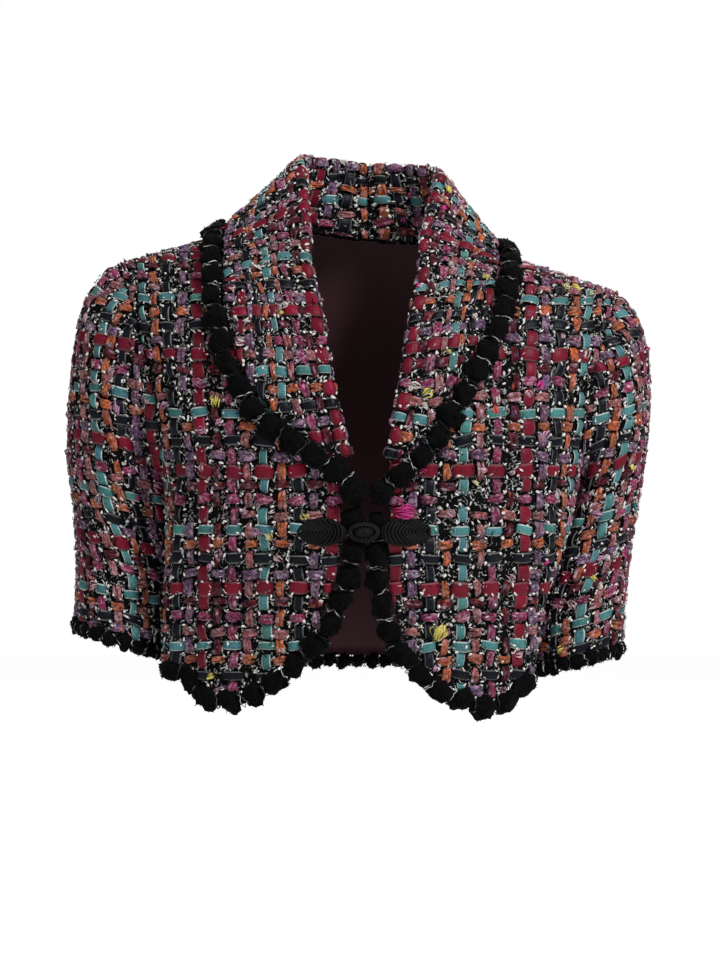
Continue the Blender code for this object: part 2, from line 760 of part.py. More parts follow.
def framed(points, normals, halves, closed=False):
    """Frames along a line of points, with the direction across it."""
    count = len(points)
    frames = []
    for k, (point, normal, half) in enumerate(zip(points, normals, halves)):
        before = points[(k - 1) % count if closed else max(k - 1, 0)]
        after = points[(k + 1) % count if closed else min(k + 1, count - 1)]
        frames.append(Frame(point, (after - before).cross(normal).normalized(), normal, half))
    return frames


def along_frames(frames, closed):
    """A function of 0 to 1 by length along frames."""
    line = list(frames) + [frames[0]] if closed else list(frames)
    reach = [0.0]
    for a, b in zip(line, line[1:]):
        reach.append(reach[-1] + (b.centre - a.centre).length)

    def read(t):
        distance = t * reach[-1]
        k = max(i for i in range(len(line) - 1) if reach[i] <= distance + 1e-9)
        s = (distance - reach[k]) / max(reach[k + 1] - reach[k], 1e-9)
        values = [mix(a, b, s) for a, b in zip(line[k], line[k + 1])]
        return Frame(*values)

    return read, reach[-1]


def add_bobbles(name, frames, sides, pitch=None, count=None):
    """A strip of bobbles, an oval tube that narrows between them; a count makes it a closed ring."""
    closed = count is not None
    read, length = along_frames(frames, closed)
    rings = 2 * (count or round(length / pitch))
    draw = 0.0 if closed else EDGING_DRAW / length
    strip = bmesh.new()
    loops = []
    for k in range(rings if closed else rings + 1):
        frame = read(mix(draw, 1 - draw, k / rings))
        half = frame.half * (1.0 if k % 2 != closed else BOBBLE_WAIST)
        loop = []
        for corner in range(sides):
            angle = math.tau * corner / sides
            offset = frame.across * math.cos(angle) + frame.normal * math.sin(angle) * BOBBLE_FLAT
            loop.append(strip.verts.new((frame.centre + offset * half) * MM))
        loops.append(loop)
    pairs = list(zip(loops, loops[1:]))
    if closed:
        pairs.append((loops[-1], loops[0]))
    for first, second in pairs:
        for corner in range(sides):
            following = (corner + 1) % sides
            strip.faces.new((first[corner], first[following], second[following], second[corner]))
    if not closed:
        strip.faces.new(loops[0])
        strip.faces.new(loops[-1])
    return add_object(name, strip, "chenille")


def collar_edging(wall):
    """Edging along the end of the collar's fall, clear of the cloth below, and on to the closure."""
    centres, normals = [], []
    for line, directions in zip(wall.points, wall.normals):
        out = (line[-1] - line[-2]).normalized()
        normal = directions[-1]
        middle = line[-1] + out * (BOBBLE_HALF + 2 * REST) - normal * (COLLAR_WALL / 2)
        push = max(push_off_body(middle + out * (BOBBLE_HALF * along), normal, BOBBLE_HALF * deep + REST)
                   for along, deep in BOBBLE_CORNERS)
        centres.append(middle + normal * push)
        normals.append(normal)
    for side in (RIGHT, LEFT):
        tip = [over_body(row.x, row.z, FRONT, TIP_LIFT) for row in TIP_PATH[side]]
        out = [body_normal(point, FRONT) for point in tip]
        if side == RIGHT:
            centres, normals = list(reversed(tip)) + centres, list(reversed(out)) + normals
        else:
            centres, normals = centres + tip, normals + out
    frames = framed(centres, normals, [BOBBLE_HALF] * len(centres))
    return add_bobbles("collar_trim", frames, 6, pitch=BOBBLE_PITCH)


def hung_from(edge, normals, halves, down):
    """Frames of an edging that is sewn to the edge of a panel."""
    centres = []
    for frame in framed(edge, normals, halves):
        away = frame.across if frame.across.dot(down) > 0 else -frame.across
        centres.append(frame.centre + away * (frame.half + REST) - frame.normal * (WALL / 2))
    return framed(centres, normals, halves)


def front_edging(side, wall):
    edge = [(line[0], directions[0]) for line, directions in zip(wall.points, wall.normals)
            if line[0].z < CLOSURE_Z]
    edge += list(zip(wall.points[-1], wall.normals[-1]))[1:]
    points = [point for point, _ in edge]
    normals = [normal for _, normal in edge]
    last = len(points) - 1
    lowest = min(range(len(points)), key=lambda k: points[k].z)
    halves = [mix(BOBBLE_HALF, FINE_HALF, ease((k - lowest) / (last - lowest))) for k in range(last + 1)]
    frames = hung_from(points, normals, halves, Vector((-side, 0, -FRONT_HANG)))
    return add_bobbles(f"front_trim_{SIDE_NAME[side]}", frames, 6, pitch=BOBBLE_PITCH)


def back_edging(wall):
    frames = hung_from(wall.points[-1], wall.normals[-1], [FINE_HALF] * len(wall.points[-1]),
                       Vector((0, 0, -1)))
    return add_bobbles("hem_trim_back", frames, 5, pitch=FINE_PITCH)


def sleeve_edging(side, wall):
    hem, above = wall.points[-1], wall.points[-2]
    centres = []
    for point, upper, normal in zip(hem, above, wall.normals[-1]):
        down = (point - upper).normalized()
        centres.append(point + down * (FINE_HALF + REST) - normal * (WALL / 2))
    frames = framed(centres, wall.normals[-1], [FINE_HALF] * len(centres), closed=True)
    return add_bobbles(f"sleeve_trim_{SIDE_NAME[side]}", frames, 6, count=len(centres))


# Frog

def add_leaf(side):
    """A soutache leaf that lies on the front and rises over the edging at its inner end."""
    first, last = LEAF_X[side]
    inner, outer = (last, first) if side == RIGHT else (first, last)
    climb_from, climb_to = LEAF_CLIMB
    leaf = bmesh.new()

    def point(angle, scale, height):
        s = (1 - scale * math.cos(angle)) / 2
        x = mix(inner, outer, s)
        half = LEAF_HALF * abs(math.sin(angle)) ** LEAF_POINT[side] * scale
        z = FROG_Z + math.copysign(half, math.sin(angle))
        over = mix(OVER_EDGING, REST, ease((abs(x) - climb_from) / (climb_to - climb_from)))
        return leaf.verts.new(over_body(x, z, FRONT, over + height) * MM)

    rings = [[point(math.tau * (k + 0.5) / LEAF_SIDES, scale, LEAF_THICK * share) for k in range(LEAF_SIDES)]
             for scale, share in LEAF_LEVELS]
    for low, high in zip(rings, rings[1:]):
        for k in range(LEAF_SIDES):
            following = (k + 1) % LEAF_SIDES
            leaf.faces.new((low[k], low[following], high[following], high[k]))
    for ring, height in ((rings[0], 0.0), (rings[-1], LEAF_THICK)):
        middle = point(math.pi / 2, 0.0, height)
        for k in range(LEAF_SIDES):
            leaf.faces.new((ring[k], ring[(k + 1) % LEAF_SIDES], middle))
    return add_object(f"frog_leaf_{SIDE_NAME[side]}", leaf, "soutache")


def add_loop():
    """The cord loop that lies flat round the knot."""
    points, normals = [], []
    for k in range(LOOP_STEPS):
        angle = math.tau * k / LOOP_STEPS
        x = LOOP_CENTRE_X + LOOP_HALF_X * math.cos(angle)
        z = FROG_Z + LOOP_HALF_Z * math.sin(angle)
        normals.append(body_normal(body_at(x, z, FRONT), FRONT))
        points.append(over_body(x, z, FRONT, OVER_EDGING + LOOP_CORD))
    ring = bmesh.new()
    loops = []
    for frame in framed(points, normals, [LOOP_CORD] * LOOP_STEPS, closed=True):
        loop = []
        for corner in range(LOOP_SIDES):
            angle = math.tau * corner / LOOP_SIDES
            offset = frame.across * math.cos(angle) + frame.normal * math.sin(angle)
            loop.append(ring.verts.new((frame.centre + offset * LOOP_CORD) * MM))
        loops.append(loop)
    for k, first in enumerate(loops):
        second = loops[(k + 1) % LOOP_STEPS]
        for corner in range(LOOP_SIDES):
            following = (corner + 1) % LOOP_SIDES
            ring.faces.new((first[corner], first[following], second[following], second[corner]))
    return add_object("frog_loop", ring, "soutache")


def add_knot():
    """The knot inside the loop."""
    centre = over_body(KNOT_X, FROG_Z, FRONT, OVER_EDGING + KNOT_HALF.y + KNOT_GAP)
    knot = bmesh.new()
    bmesh.ops.create_icosphere(knot, subdivisions=2, radius=1.0)
    for vert in knot.verts:
        vert.co = Vector((centre[k] + vert.co[k] * KNOT_HALF[k] for k in range(3))) * MM
    return add_object("frog_knot", knot, "soutache")


def build():
    for obj in list(bpy.data.objects):
        bpy.data.objects.remove(obj, do_unlink=True)
    back = back_panel()
    add_wall("back", back, WALL)
    back_edging(back)
    for side in (RIGHT, LEFT):
        front = front_panel(side)
        add_wall(f"front_{SIDE_NAME[side]}", front, WALL)
        front_edging(side, front)
        arm = sleeve(side)
        add_wall(f"sleeve_{SIDE_NAME[side]}", arm, WALL, closed=True)
        sleeve_edging(side, arm)
        add_leaf(side)
    fold = collar()
    add_wall("collar", fold, COLLAR_WALL)
    collar_edging(fold)
    add_loop()
    add_knot()


build()
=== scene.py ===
"""Looks of a worn cropped tweed jacket: cloth shells, woven yarns, chenille edging and a soutache frog.

Right and left are the wearer's. The frame is +Z up, the front faces -Y and +X is the wearer's left. Tables
and functions work in millimetres, and MM turns them into metres where a mesh is made. A panel's cloth
has coordinates of its own, u across and v up, and every yarn is laid by them.
"""
import math
from collections import namedtuple

import bpy
import numpy as np
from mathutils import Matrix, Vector


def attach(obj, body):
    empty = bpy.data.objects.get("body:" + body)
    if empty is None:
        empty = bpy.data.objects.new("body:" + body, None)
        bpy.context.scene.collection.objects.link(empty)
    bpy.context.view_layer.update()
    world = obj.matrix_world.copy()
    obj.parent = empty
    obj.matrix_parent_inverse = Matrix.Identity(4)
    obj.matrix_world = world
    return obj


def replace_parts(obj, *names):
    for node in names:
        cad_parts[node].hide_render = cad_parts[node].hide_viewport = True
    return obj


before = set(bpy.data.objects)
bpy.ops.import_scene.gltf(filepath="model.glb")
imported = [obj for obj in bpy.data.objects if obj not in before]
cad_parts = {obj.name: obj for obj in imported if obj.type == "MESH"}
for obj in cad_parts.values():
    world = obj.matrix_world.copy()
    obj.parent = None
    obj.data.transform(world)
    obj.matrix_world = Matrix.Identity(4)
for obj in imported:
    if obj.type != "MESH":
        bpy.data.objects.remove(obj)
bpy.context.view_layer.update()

MM = 0.001
SIDES = RIGHT, LEFT = -1, 1
FRONT, BACK = -1, 1
SIDE_NAME = {RIGHT: "right", LEFT: "left"}

# Cloth and edging
WALL = 1.3  # the shell below the yarns
COLLAR_WALL = 1.7
SOLID_WALL = 2.2  # the solids' walls, which the collar's foot and the edging are set by
SOLID_COLLAR = 2.6
SINK = 0.9  # the shell's outer face lies this far under the yarns' middle
SEAM_DRAW = 0.2  # a panel stops this far short of its seams
NECK_DRAW = 2.1  # the collar's foot stands this far inside the neckline
BOBBLE_PITCH = 21.0  # collar and front edging
BOBBLE_HALF = 8.7
FINE_PITCH = 12.0  # back hem and sleeve edging
FINE_HALF = 6.0
REST = 0.6  # gap under or beside a piece that is sewn on
SLOPE_STEP = 1.5  # directions are measured this far to each side
HALVINGS, PUSH_HALVINGS = 26, 22  # rounds of halving that find a place, and a push
FARTHEST_PUSH = 40.0

# Body sections by height: half widths at the side seams, how far the front stands out before the
# arm on each side, the depths in front of and behind the side seams, and how square the section is
Section = namedtuple("Section", "z right left stand_right stand_left front back square")
SECTIONS = (
    Section(20, 204, 206, 0, 0, 96, 90, 3.5),
    Section(-40, 198, 202, 0, 0, 109, 95, 3.3),
    Section(-120, 186, 190, 0, 0, 119, 99, 2.8),
    Section(-205, 162, 169, 4, 3, 124, 97, 2.45),
    Section(-245, 155, 155, 13, 13, 124, 93, 2.4),
    Section(-300, 148, 129, 23, 21, 115, 88, 2.4),
    Section(-350, 149, 119, 24, 22, 107, 85, 2.4),
    Section(-400, 150, 114, 24, 22, 102, 84, 2.4),
)
STAND_START = 35  # degrees from the front where it begins to stand out
STAND_PEAK = 62

# Folds and creases, as straight lines down the cloth from one end to the other: the distance from
# the line that each reaches and its depth, where less than 0 is a ridge
Fold = namedtuple("Fold", "piece side face top_x top_z low_x low_z width depth")
FOLDS = (
    Fold("body", RIGHT, FRONT, -141, -228, -139, -450, 10, 6.5),
    Fold("body", RIGHT, FRONT, -119, -250, -121, -450, 12, -2.5),
    Fold("body", LEFT, FRONT, 111, -236, 116, -450, 11, 4.0),
    Fold("body", RIGHT, BACK, -128, -120, -104, -400, 15, 4.5),
    Fold("body", LEFT, BACK, 121, -135, 96, -430, 16, 4.0),
    Fold("sleeve", RIGHT, FRONT, -183, -130, -172, -345, 15, 9.0),
    Fold("sleeve", RIGHT, FRONT, -214, -90, -193, -260, 14, -3.5),
    Fold("sleeve", LEFT, FRONT, 164, -165, 200, -390, 11, 5.0),
    Fold("sleeve", LEFT, FRONT, 186, -120, 223, -330, 11, 3.0),
    Fold("sleeve", RIGHT, BACK, -176, -180, -222, -300, 14, 4.0),
    Fold("sleeve", LEFT, BACK, 166, -190, 206, -320, 13, 4.5),
)
CREASES = (
    Fold("body", RIGHT, FRONT, -150, -95, -112, -190, 9, 1.8),
    Fold("body", RIGHT, FRONT, -92, -262, -40, -244, 8, 1.2),
    Fold("body", RIGHT, FRONT, -60, -300, -88, -372, 9, 1.4),
    Fold("body", LEFT, FRONT, 156, -120, 118, -205, 9, 1.8),
    Fold("body", LEFT, FRONT, 84, -268, 40, -246, 8, 1.3),
    Fold("body", LEFT, FRONT, 62, -292, 78, -380, 9, 1.5),
    Fold("body", RIGHT, BACK, -168, -90, -120, -165, 11, 2.2),
    Fold("body", RIGHT, BACK, -60, -210, -48, -372, 12, 2.4),
    Fold("body", LEFT, BACK, 172, -105, 126, -182, 11, 2.0),
    Fold("body", LEFT, BACK, 40, -196, 52, -366, 13, 2.6),
    Fold("body", LEFT, BACK, 92, -60, 20, -78, 10, 1.4),
    Fold("sleeve", RIGHT, FRONT, -228, -150, -176, -236, 9, 2.2),
    Fold("sleeve", RIGHT, FRONT, -230, -262, -178, -300, 9, 1.8),
    Fold("sleeve", LEFT, FRONT, 214, -196, 160, -262, 9, 2.0),
    Fold("sleeve", LEFT, FRONT, 204, -286, 150, -318, 8, 1.6),
    Fold("sleeve", RIGHT, BACK, -232, -190, -180, -240, 10, 2.2),
    Fold("sleeve", RIGHT, BACK, -226, -270, -172, -300, 9, 1.8),
    Fold("sleeve", LEFT, BACK, 216, -200, 156, -240, 10, 2.2),
)

Spot = namedtuple("Spot", "x z")


def spots(*rows):
    return [Spot(*row) for row in rows]


# Shoulder line, from tip to tip over the neck base
SHOULDERS = spots((-260, -50), (-198.4, -33), (-72, 2), (0, 6), (72, -14), (202.8, -57), (260, -76))
NECK_X = 72
TIP_Z = {RIGHT: -33, LEFT: -57}
UNDERARM_Z = -205
ARM_BOW = 9  # how far the armhole curves in towards the chest
ARM_LEAN = 0.7
ROOF_START = {FRONT: -215, BACK: -130}  # height where the body begins to lean to the shoulders
ROOF_SQUARE = {FRONT: 2.0, BACK: 2.8}

# Lapels from the closure up: the sewn fold on the front and the middle of the edging
Lapel = namedtuple("Lapel", "seam_x seam_z trim_x trim_z")
LAPELS = {
    RIGHT: (
        Lapel(-16, -189, -28, -196), Lapel(-21, -172, -42, -186),
        Lapel(-26, -152, -63, -173), Lapel(-31, -126, -87, -151),
        Lapel(-35, -98, -105, -124), Lapel(-42, -68, -115, -93),
    ),
    LEFT: (
        Lapel(16, -190, 27, -198), Lapel(21, -172, 41, -187),
        Lapel(25, -150, 57, -167), Lapel(30, -124, 74, -140),
        Lapel(34, -98, 91, -108), Lapel(39, -66, 104, -80),
    ),
}
LAPEL_STAND = 5.5
TIP_LIFT = 6.5  # the edging over the fronts past the collar's end
COLLAR_ROLL = 3.8  # radius of the fold
COLLAR_REST = 4.9  # collar's outer face over the cloth that it lies on

# Collar round the neck: neckline seam, top of the roll, middle of the edging and the face it is over
Neck = namedtuple("Neck", "seam_x seam_y roll_x roll_y roll_z trim_x trim_z face")
CENTRE_BACK = Neck(0, 60, 0, 60, 52, 0, -34, BACK)
NECKS = {
    RIGHT: (
        Neck(-50, -64, -46, -70, -36, -121, -62, FRONT), Neck(-59, -52, -47, -52, -10, -122, -36, FRONT),
        Neck(-68, -28, -49, -27, 22, -121, -19, FRONT), Neck(-NECK_X, 0, -52, 2, 52, -118, -10.8, BACK),
        Neck(-64, 27, -46, 32, 56, -106, -24, BACK), Neck(-40, 48, -27, 52, 55, -62, -32, BACK),
        CENTRE_BACK,
    ),
    LEFT: (
        Neck(47, -64, 41, -69, -42, 109, -56, FRONT), Neck(58, -52, 43, -52, -16, 111, -41, FRONT),
        Neck(68, -28, 50, -27, 13, 111, -31, FRONT), Neck(NECK_X, 0, 57, 2, 41, 107, -25.6, BACK),
        Neck(64, 27, 48, 32, 47, 96, -37, BACK), Neck(40, 48, 28, 52, 51, 57, -38, BACK),
        CENTRE_BACK,
    ),
}
TIP_PATH = {  # the edging runs on past the collar's end to the closure
    RIGHT: spots((-17, -205), (-12.5, -214), (-12, -227)),
    LEFT: spots((16, -208), (9, -216), (6, -227)),
}

# Cloth edge of each front below the lapel: down the opening, then along the rounded hem to the side
EDGES = {
    RIGHT: spots((-17, -210), (-20.5, -228), (-21, -256), (-25, -280), (-30, -297), (-40, -321)),
    LEFT: spots((16, -212), (17, -228), (16.5, -250), (15.5, -268), (17, -288), (21, -306), (30, -335)),
}
HEMS = {
    RIGHT: spots((-40, -321), (-65, -348), (-92, -367), (-108, -373), (-122, -372), (-134, -363),
                 (-147, -352)),
    LEFT: spots((30, -335), (46, -353), (65, -367), (82, -374), (94, -378), (105, -375), (115, -365)),
}
SIDE_HEM_Z = {RIGHT: -349, LEFT: -352}
CLOSURE_Z = -224  # where the front edging begins
FRONT_HANG = 1.6  # slope of the direction in which it hangs from the cloth

# Sleeve sections from the armhole to the hem: outer and inner line, middle and half depth in Y
Cuff = namedtuple("Cuff", "outer_x outer_z inner_x inner_z middle depth")
SLEEVES = {
    RIGHT: (
        Cuff(198.4, -33, 162, -205, 0, 50), Cuff(209, -39, 165.5, -210, 0, 51),
        Cuff(221, -54, 163, -218, 1, 52), Cuff(230, -76, 161, -228, 3, 53),
        Cuff(235, -107, 159, -242, 5, 54), Cuff(239, -145, 159, -259, 8, 54),
        Cuff(240, -184, 159, -279, 10, 54), Cuff(236, -226, 159, -299, 12, 53),
        Cuff(233, -270, 160, -320, 12, 52), Cuff(235, -318, 161, -341, 12, 52),
    ),
    LEFT: (
        Cuff(202.8, -57, 169, -205, 0, 50), Cuff(211, -66, 173, -210, 0, 51),
        Cuff(219, -82, 169, -219, 1, 52), Cuff(224, -104, 164.5, -231, 3, 53),
        Cuff(226, -132, 158.5, -248, 5, 53), Cuff(225, -164, 151, -266, 8, 53),
        Cuff(221, -197, 145, -286, 10, 52), Cuff(216, -232, 139, -306, 12, 51),
        Cuff(209, -278, 135, -328, 12, 50), Cuff(205, -337, 134, -353, 12, 50),
    ),
}
SLEEVE_END = 9  # number of the last row
ARM_BLEND = (1.0, 0.6, 0.3, 0.1)  # how much of the armhole's own curve each section keeps


# Curves through tables

def smooth(xs, ys):
    """A function that reads the smooth curve through (xs, ys), held flat past its ends."""
    xs, ys = np.asarray(xs, float), np.asarray(ys, float)
    runs = np.diff(xs)
    steps = np.diff(ys) / runs
    before, after = steps[:-1], steps[1:]
    turns = before * after <= 0
    inner = np.where(turns, 0.0, 2 * before * after / np.where(turns, 1.0, before + after))
    slopes = np.concatenate([steps[:1], inner, steps[-1:]])

    def read(x):
        x = np.clip(x, xs[0], xs[-1])
        i = np.clip(np.searchsorted(xs, x, side="right") - 1, 0, len(runs) - 1)
        width = runs[i]
        t = (x - xs[i]) / width
        start = (2 * t - 3) * t * t + 1
        return (start * ys[i] + (1 - start) * ys[i + 1]
                + ((t - 2) * t + 1) * t * width * slopes[i]
                + (t - 1) * t * t * width * slopes[i + 1])

    return read


def column(table, name):
    """The smooth curve of one column of a table over z."""
    rows = sorted(table, key=lambda row: row.z)
    return smooth([row.z for row in rows], [getattr(row, name) for row in rows])


def reach_of(points, axis=0):
    """Length along runs of points."""
    reach = np.cumsum(np.linalg.norm(np.diff(points, axis=axis), axis=-1), axis=axis)
    return np.concatenate([0 * reach.take([0], axis), reach], axis=axis)


def steps_of(points, closed, axis=0):
    """Direction at each point of runs that end, or close on themselves."""
    if closed:
        return np.roll(points, -1, axis=axis) - np.roll(points, 1, axis=axis)
    return np.gradient(points, axis=axis)


def path(points):
    """A function of 0 to 1, by length, along the smooth curve through points of any dimension."""
    points = np.asarray(points, float)
    reach = reach_of(points)
    readers = [smooth(reach / reach[-1], points[:, axis]) for axis in range(points.shape[1])]
    return lambda t: np.stack([read(t) for read in readers], axis=-1)


def sample(points, count):
    return path(points)(np.linspace(0, 1, count + 1))


def mix(a, b, t):
    return a + (b - a) * t


def ease(t):
    t = np.clip(t, 0.0, 1.0)
    return t * t * (3 - 2 * t)


def unit(vectors):
    return vectors / np.maximum(np.linalg.norm(vectors, axis=-1, keepdims=True), 1e-9)


def dot(a, b):
    return np.sum(a * b, axis=-1, keepdims=True)


def pick(way, curves, z):
    """The value at z of one of two curves, by side or by face."""
    return np.where(np.asarray(way) > 0, curves[1](z), curves[-1](z))


# The body's surface

SEAM_X = {RIGHT: column(SECTIONS, "right"), LEFT: column(SECTIONS, "left")}
STAND_OUT = {RIGHT: column(SECTIONS, "stand_right"), LEFT: column(SECTIONS, "stand_left")}
DEPTH = {FRONT: column(SECTIONS, "front"), BACK: column(SECTIONS, "back")}
SQUARE = column(SECTIONS, "square")


def fold_depth(piece, x, z, face):
    """How far folds and creases draw a piece's cloth in at places in the front or back view."""
    depth = np.zeros(np.broadcast(x, z).shape)
    for fold in FOLDS + CREASES:
        if fold.piece != piece:
            continue
        run_x, run_z = fold.low_x - fold.top_x, fold.low_z - fold.top_z
        length = math.hypot(run_x, run_z)
        along = ((x - fold.top_x) * run_x + (z - fold.top_z) * run_z) / length ** 2
        across = ((x - fold.top_x) * run_z - (z - fold.top_z) * run_x) / length
        there = (along > 0) & (along < 1) & (np.sign(x) == fold.side) & (np.asarray(face) == fold.face)
        depth += there * fold.depth * np.sin(np.pi * along) * np.exp(-(across / fold.width) ** 2)
    return depth


def shoulder_z(x):
    return np.interp(x, *zip(*SHOULDERS))


def roof_shape(face):
    """Start height and squareness of the lean to the shoulders, by face."""
    behind = np.asarray(face) > 0
    return [np.where(behind, table[BACK], table[FRONT]) for table in (ROOF_START, ROOF_SQUARE)]


def roof(x, z, face):
    """1 below the chest, falling to 0 at the shoulder line."""
    start, power = roof_shape(face)
    rise = np.clip((z - start) / (shoulder_z(x) - start), 0.0, 1.0)
    return (1 - rise ** power) ** (1 / power)


def half_width(angle, z, face):
    """Distance from the middle plane at an angle of 0 (centre) to 90 (side seam)."""
    side = np.where(angle >= 0, LEFT, RIGHT)
    turn = np.minimum(np.abs(angle), 90)
    x = pick(side, SEAM_X, z) * np.sin(np.radians(turn)) ** (2 / SQUARE(z))
    rise = np.clip((turn - STAND_START) / (90 - STAND_START), 0, 1)
    swell = np.sin(np.pi * rise) ** 2 * (np.asarray(face) == FRONT)
    return x + pick(side, STAND_OUT, z) * swell


def body(angle, z, face, roofed=True):
    """Outer face of the cloth at angles from the centre and heights."""
    angle, z = np.broadcast_arrays(np.asarray(angle, float), np.asarray(z, float))
    x = np.where(angle >= 0, LEFT, RIGHT) * half_width(angle, z, face)
    around = np.cos(np.radians(np.minimum(np.abs(angle), 90))) ** (2 / SQUARE(z))
    lean = roof(x, z, face) if roofed else 1.0
    y = (pick(face, DEPTH, z) * lean - fold_depth("body", x, z, face)) * around
    return np.stack([x, face * y, z], axis=-1)


def angle_at(x, z, face):
    """The angle whose half width is that of x."""
    x, z = np.broadcast_arrays(np.asarray(x, float), np.asarray(z, float))
    side = np.where(x >= 0, LEFT, RIGHT)
    low = np.zeros(x.shape)
    high = np.where(z > UNDERARM_Z, 90.0, STAND_PEAK)
    for _ in range(HALVINGS):
        middle = (low + high) / 2
        short = half_width(side * middle, z, face) < np.abs(x)
        low = np.where(short, middle, low)
        high = np.where(short, high, middle)
    return side * low


def body_at(x, z, face):
    return body(angle_at(x, z, face), z, face)


def height_at(x, y, face):
    """Height of the body's face over a plan position near the shoulders."""
    low, high = float(ROOF_START[face]), float(shoulder_z(x))
    for _ in range(HALVINGS):
        middle = (low + high) / 2
        outside = abs(body_at(x, middle, face)[..., 1]) > abs(y)
        low, high = (middle, high) if outside else (low, middle)
    return low


def fullness(points, face):
    """0 on the body's face, less inside and more outside, smooth over the shoulder line."""
    x, y, z = points[..., 0], points[..., 1], points[..., 2]
    side = np.where(x >= 0, LEFT, RIGHT)
    square = SQUARE(z)
    inward = 1 - np.minimum(np.abs(x) / pick(side, SEAM_X, z), 0.999) ** square
    across = np.maximum(inward, 0.0) ** (1 / square)
    start, power = roof_shape(face)
    rise = np.maximum((z - start) / (shoulder_z(x) - start), 0.0)
    return (np.abs(y) / (pick(face, DEPTH, z) * across)) ** power + rise ** power - 1


def face_of(points):
    return np.where(points[..., 1] < 0, FRONT, BACK)


def body_normal(points, face):
    """Outward direction of the body's face."""
    slope = []
    for axis in range(3):
        shift = np.zeros(3)
        shift[axis] = SLOPE_STEP
        slope.append(fullness(points + shift, face) - fullness(points - shift, face))
    return unit(np.stack(slope, axis=-1))


def over_body(x, z, face, lift):
    """Points that lie over the body by a distance."""
    points = body_at(x, z, face)
    return points + body_normal(points, face) * np.asarray(lift, float)[..., None]


# Armholes and seams

def armhole(side, turn, face):
    """Points of the armhole, 0 at the shoulder tip and 180 at the underarm."""
    turn = np.asarray(turn, float)
    down = (1 - np.cos(np.radians(turn))) / 2
    z = mix(TIP_Z[side], UNDERARM_Z, down)
    bow = ARM_BOW * np.sin(np.radians(turn)) ** 2
    x = mix(SEAM_X[side](TIP_Z[side]), SEAM_X[side](UNDERARM_Z), down) - bow
    curve = body_at(side * x, z, face)
    ends = np.stack([side * SEAM_X[side](z), np.zeros_like(z), z], axis=-1)
    at_end = (turn <= 0) | (turn >= 180)
    return np.where(at_end[..., None], ends, curve)


def armhole_normal(side, turn, face):
    """Direction of the cloth's thickness along the armhole, the same for body and sleeve."""
    angle = np.radians(turn)
    out = ARM_LEAN * np.sin(angle / 2) ** 2
    return unit(np.stack([side * out, face * np.sin(angle), np.cos(angle)], axis=-1))


def ridge_normal(side):
    """Upward direction square to one shoulder line."""
    run = SEAM_X[side](TIP_Z[side]) - NECK_X
    return unit(np.array([side * (shoulder_z(side * NECK_X) - TIP_Z[side]), 0, run]))


def pairs_of(points, face):
    """(angle, height) of points on the body."""
    return np.stack([angle_at(points[:, 0], points[:, 2], face), points[:, 2]], axis=-1)


def neck_seam(side):
    """Points of the collar seam from the end of the lapel up to the shoulder, and on to the back."""
    lapel = [body_at(row.seam_x, row.seam_z, FRONT) for row in LAPELS[side]]
    neck = []
    for row in NECKS[side]:
        face = FRONT if row.seam_y < 0 else BACK
        neck.append(np.array([row.seam_x, row.seam_y, height_at(row.seam_x, row.seam_y, face)]))
    at_shoulder = next(k for k, row in enumerate(NECKS[side]) if row.seam_y >= 0)
    return lapel + neck[:at_shoulder + 1], neck[at_shoulder:]


def opening_edge(side):
    """The front's cloth edge from the shoulder, down the neckline and lapel, to the rounded corner."""
    up_to_shoulder, _ = neck_seam(side)
    return list(reversed(up_to_shoulder)) + [body_at(*spot, FRONT) for spot in EDGES[side]]


def hem_pairs(side, count):
    """(angle, height) along a front's hem, from the corner to the side seam."""
    rows = [(angle_at(row.x, row.z, FRONT), row.z) for row in HEMS[side]]
    return sample(rows + [(side * 90.0, SIDE_HEM_Z[side])], count)


def side_line(side, face):
    """(angle, height) down a panel's outer edge: the armhole, then the side seam."""
    arm = pairs_of(armhole(side, ARM_TURNS, face), face)
    arm[0] = (side * 90.0, TIP_Z[side])
    arm[-1] = (side * 90.0, UNDERARM_Z)
    heights = mix(UNDERARM_Z, SIDE_HEM_Z[side], np.arange(1, SIDE_ROWS + 1) / SIDE_ROWS)
    return np.concatenate([arm, np.stack([np.full(SIDE_ROWS, side * 90.0), heights], axis=-1)])


def shoulder_pairs(side, face, columns):
    """(angle, height) along one shoulder line, from the neck to the tip."""
    x = side * mix(NECK_X, SEAM_X[side](TIP_Z[side]), np.arange(columns + 1) / columns)
    z = shoulder_z(x)
    pairs = np.stack([angle_at(x, z, face), z], axis=-1)
    pairs[-1] = (side * 90.0, TIP_Z[side])
    return pairs


# Walls of the shells

Wall = namedtuple("Wall", "points normals closed", defaults=[False])
ARM_ROWS = 30  # rows of a shell from the shoulder tip to the underarm
ARM_TURNS = 180 * np.arange(ARM_ROWS + 1) / ARM_ROWS
SIDE_ROWS = 20
FRONT_COLUMNS = 34
SHOULDER_COLUMNS = 15
NECK_COLUMNS = 20
SLEEVE_ROWS = 30
HALF_RING = 28  # columns of a sleeve from its outer to its inner line
COLLAR_STATIONS = 54  # on each side of the centre back
COLLAR_ROWS = (3, 6, 10)  # up its stand, over its roll and down its fall


def grid_normals(points, outward, closed=False):
    """Normals of a grid of points, on the side of the direction given for its middle point."""
    normals = unit(np.cross(steps_of(points, closed, axis=1), np.gradient(points, axis=0)))
    i, j = points.shape[0] // 2, points.shape[1] // 2
    return normals * np.sign(np.dot(normals[i, j], outward))


def coons(top, low, first, last):
    """(angle, height) of every point of a panel, blended from its four edges."""
    v = np.linspace(0, 1, len(first))[:, None, None]
    u = np.linspace(0, 1, len(top))[None, :, None]
    ends = mix(mix(top[0], top[-1], u), mix(low[0], low[-1], u), v)
    return mix(first[:, None], last[:, None], u) + mix(top[None], low[None], v) - ends


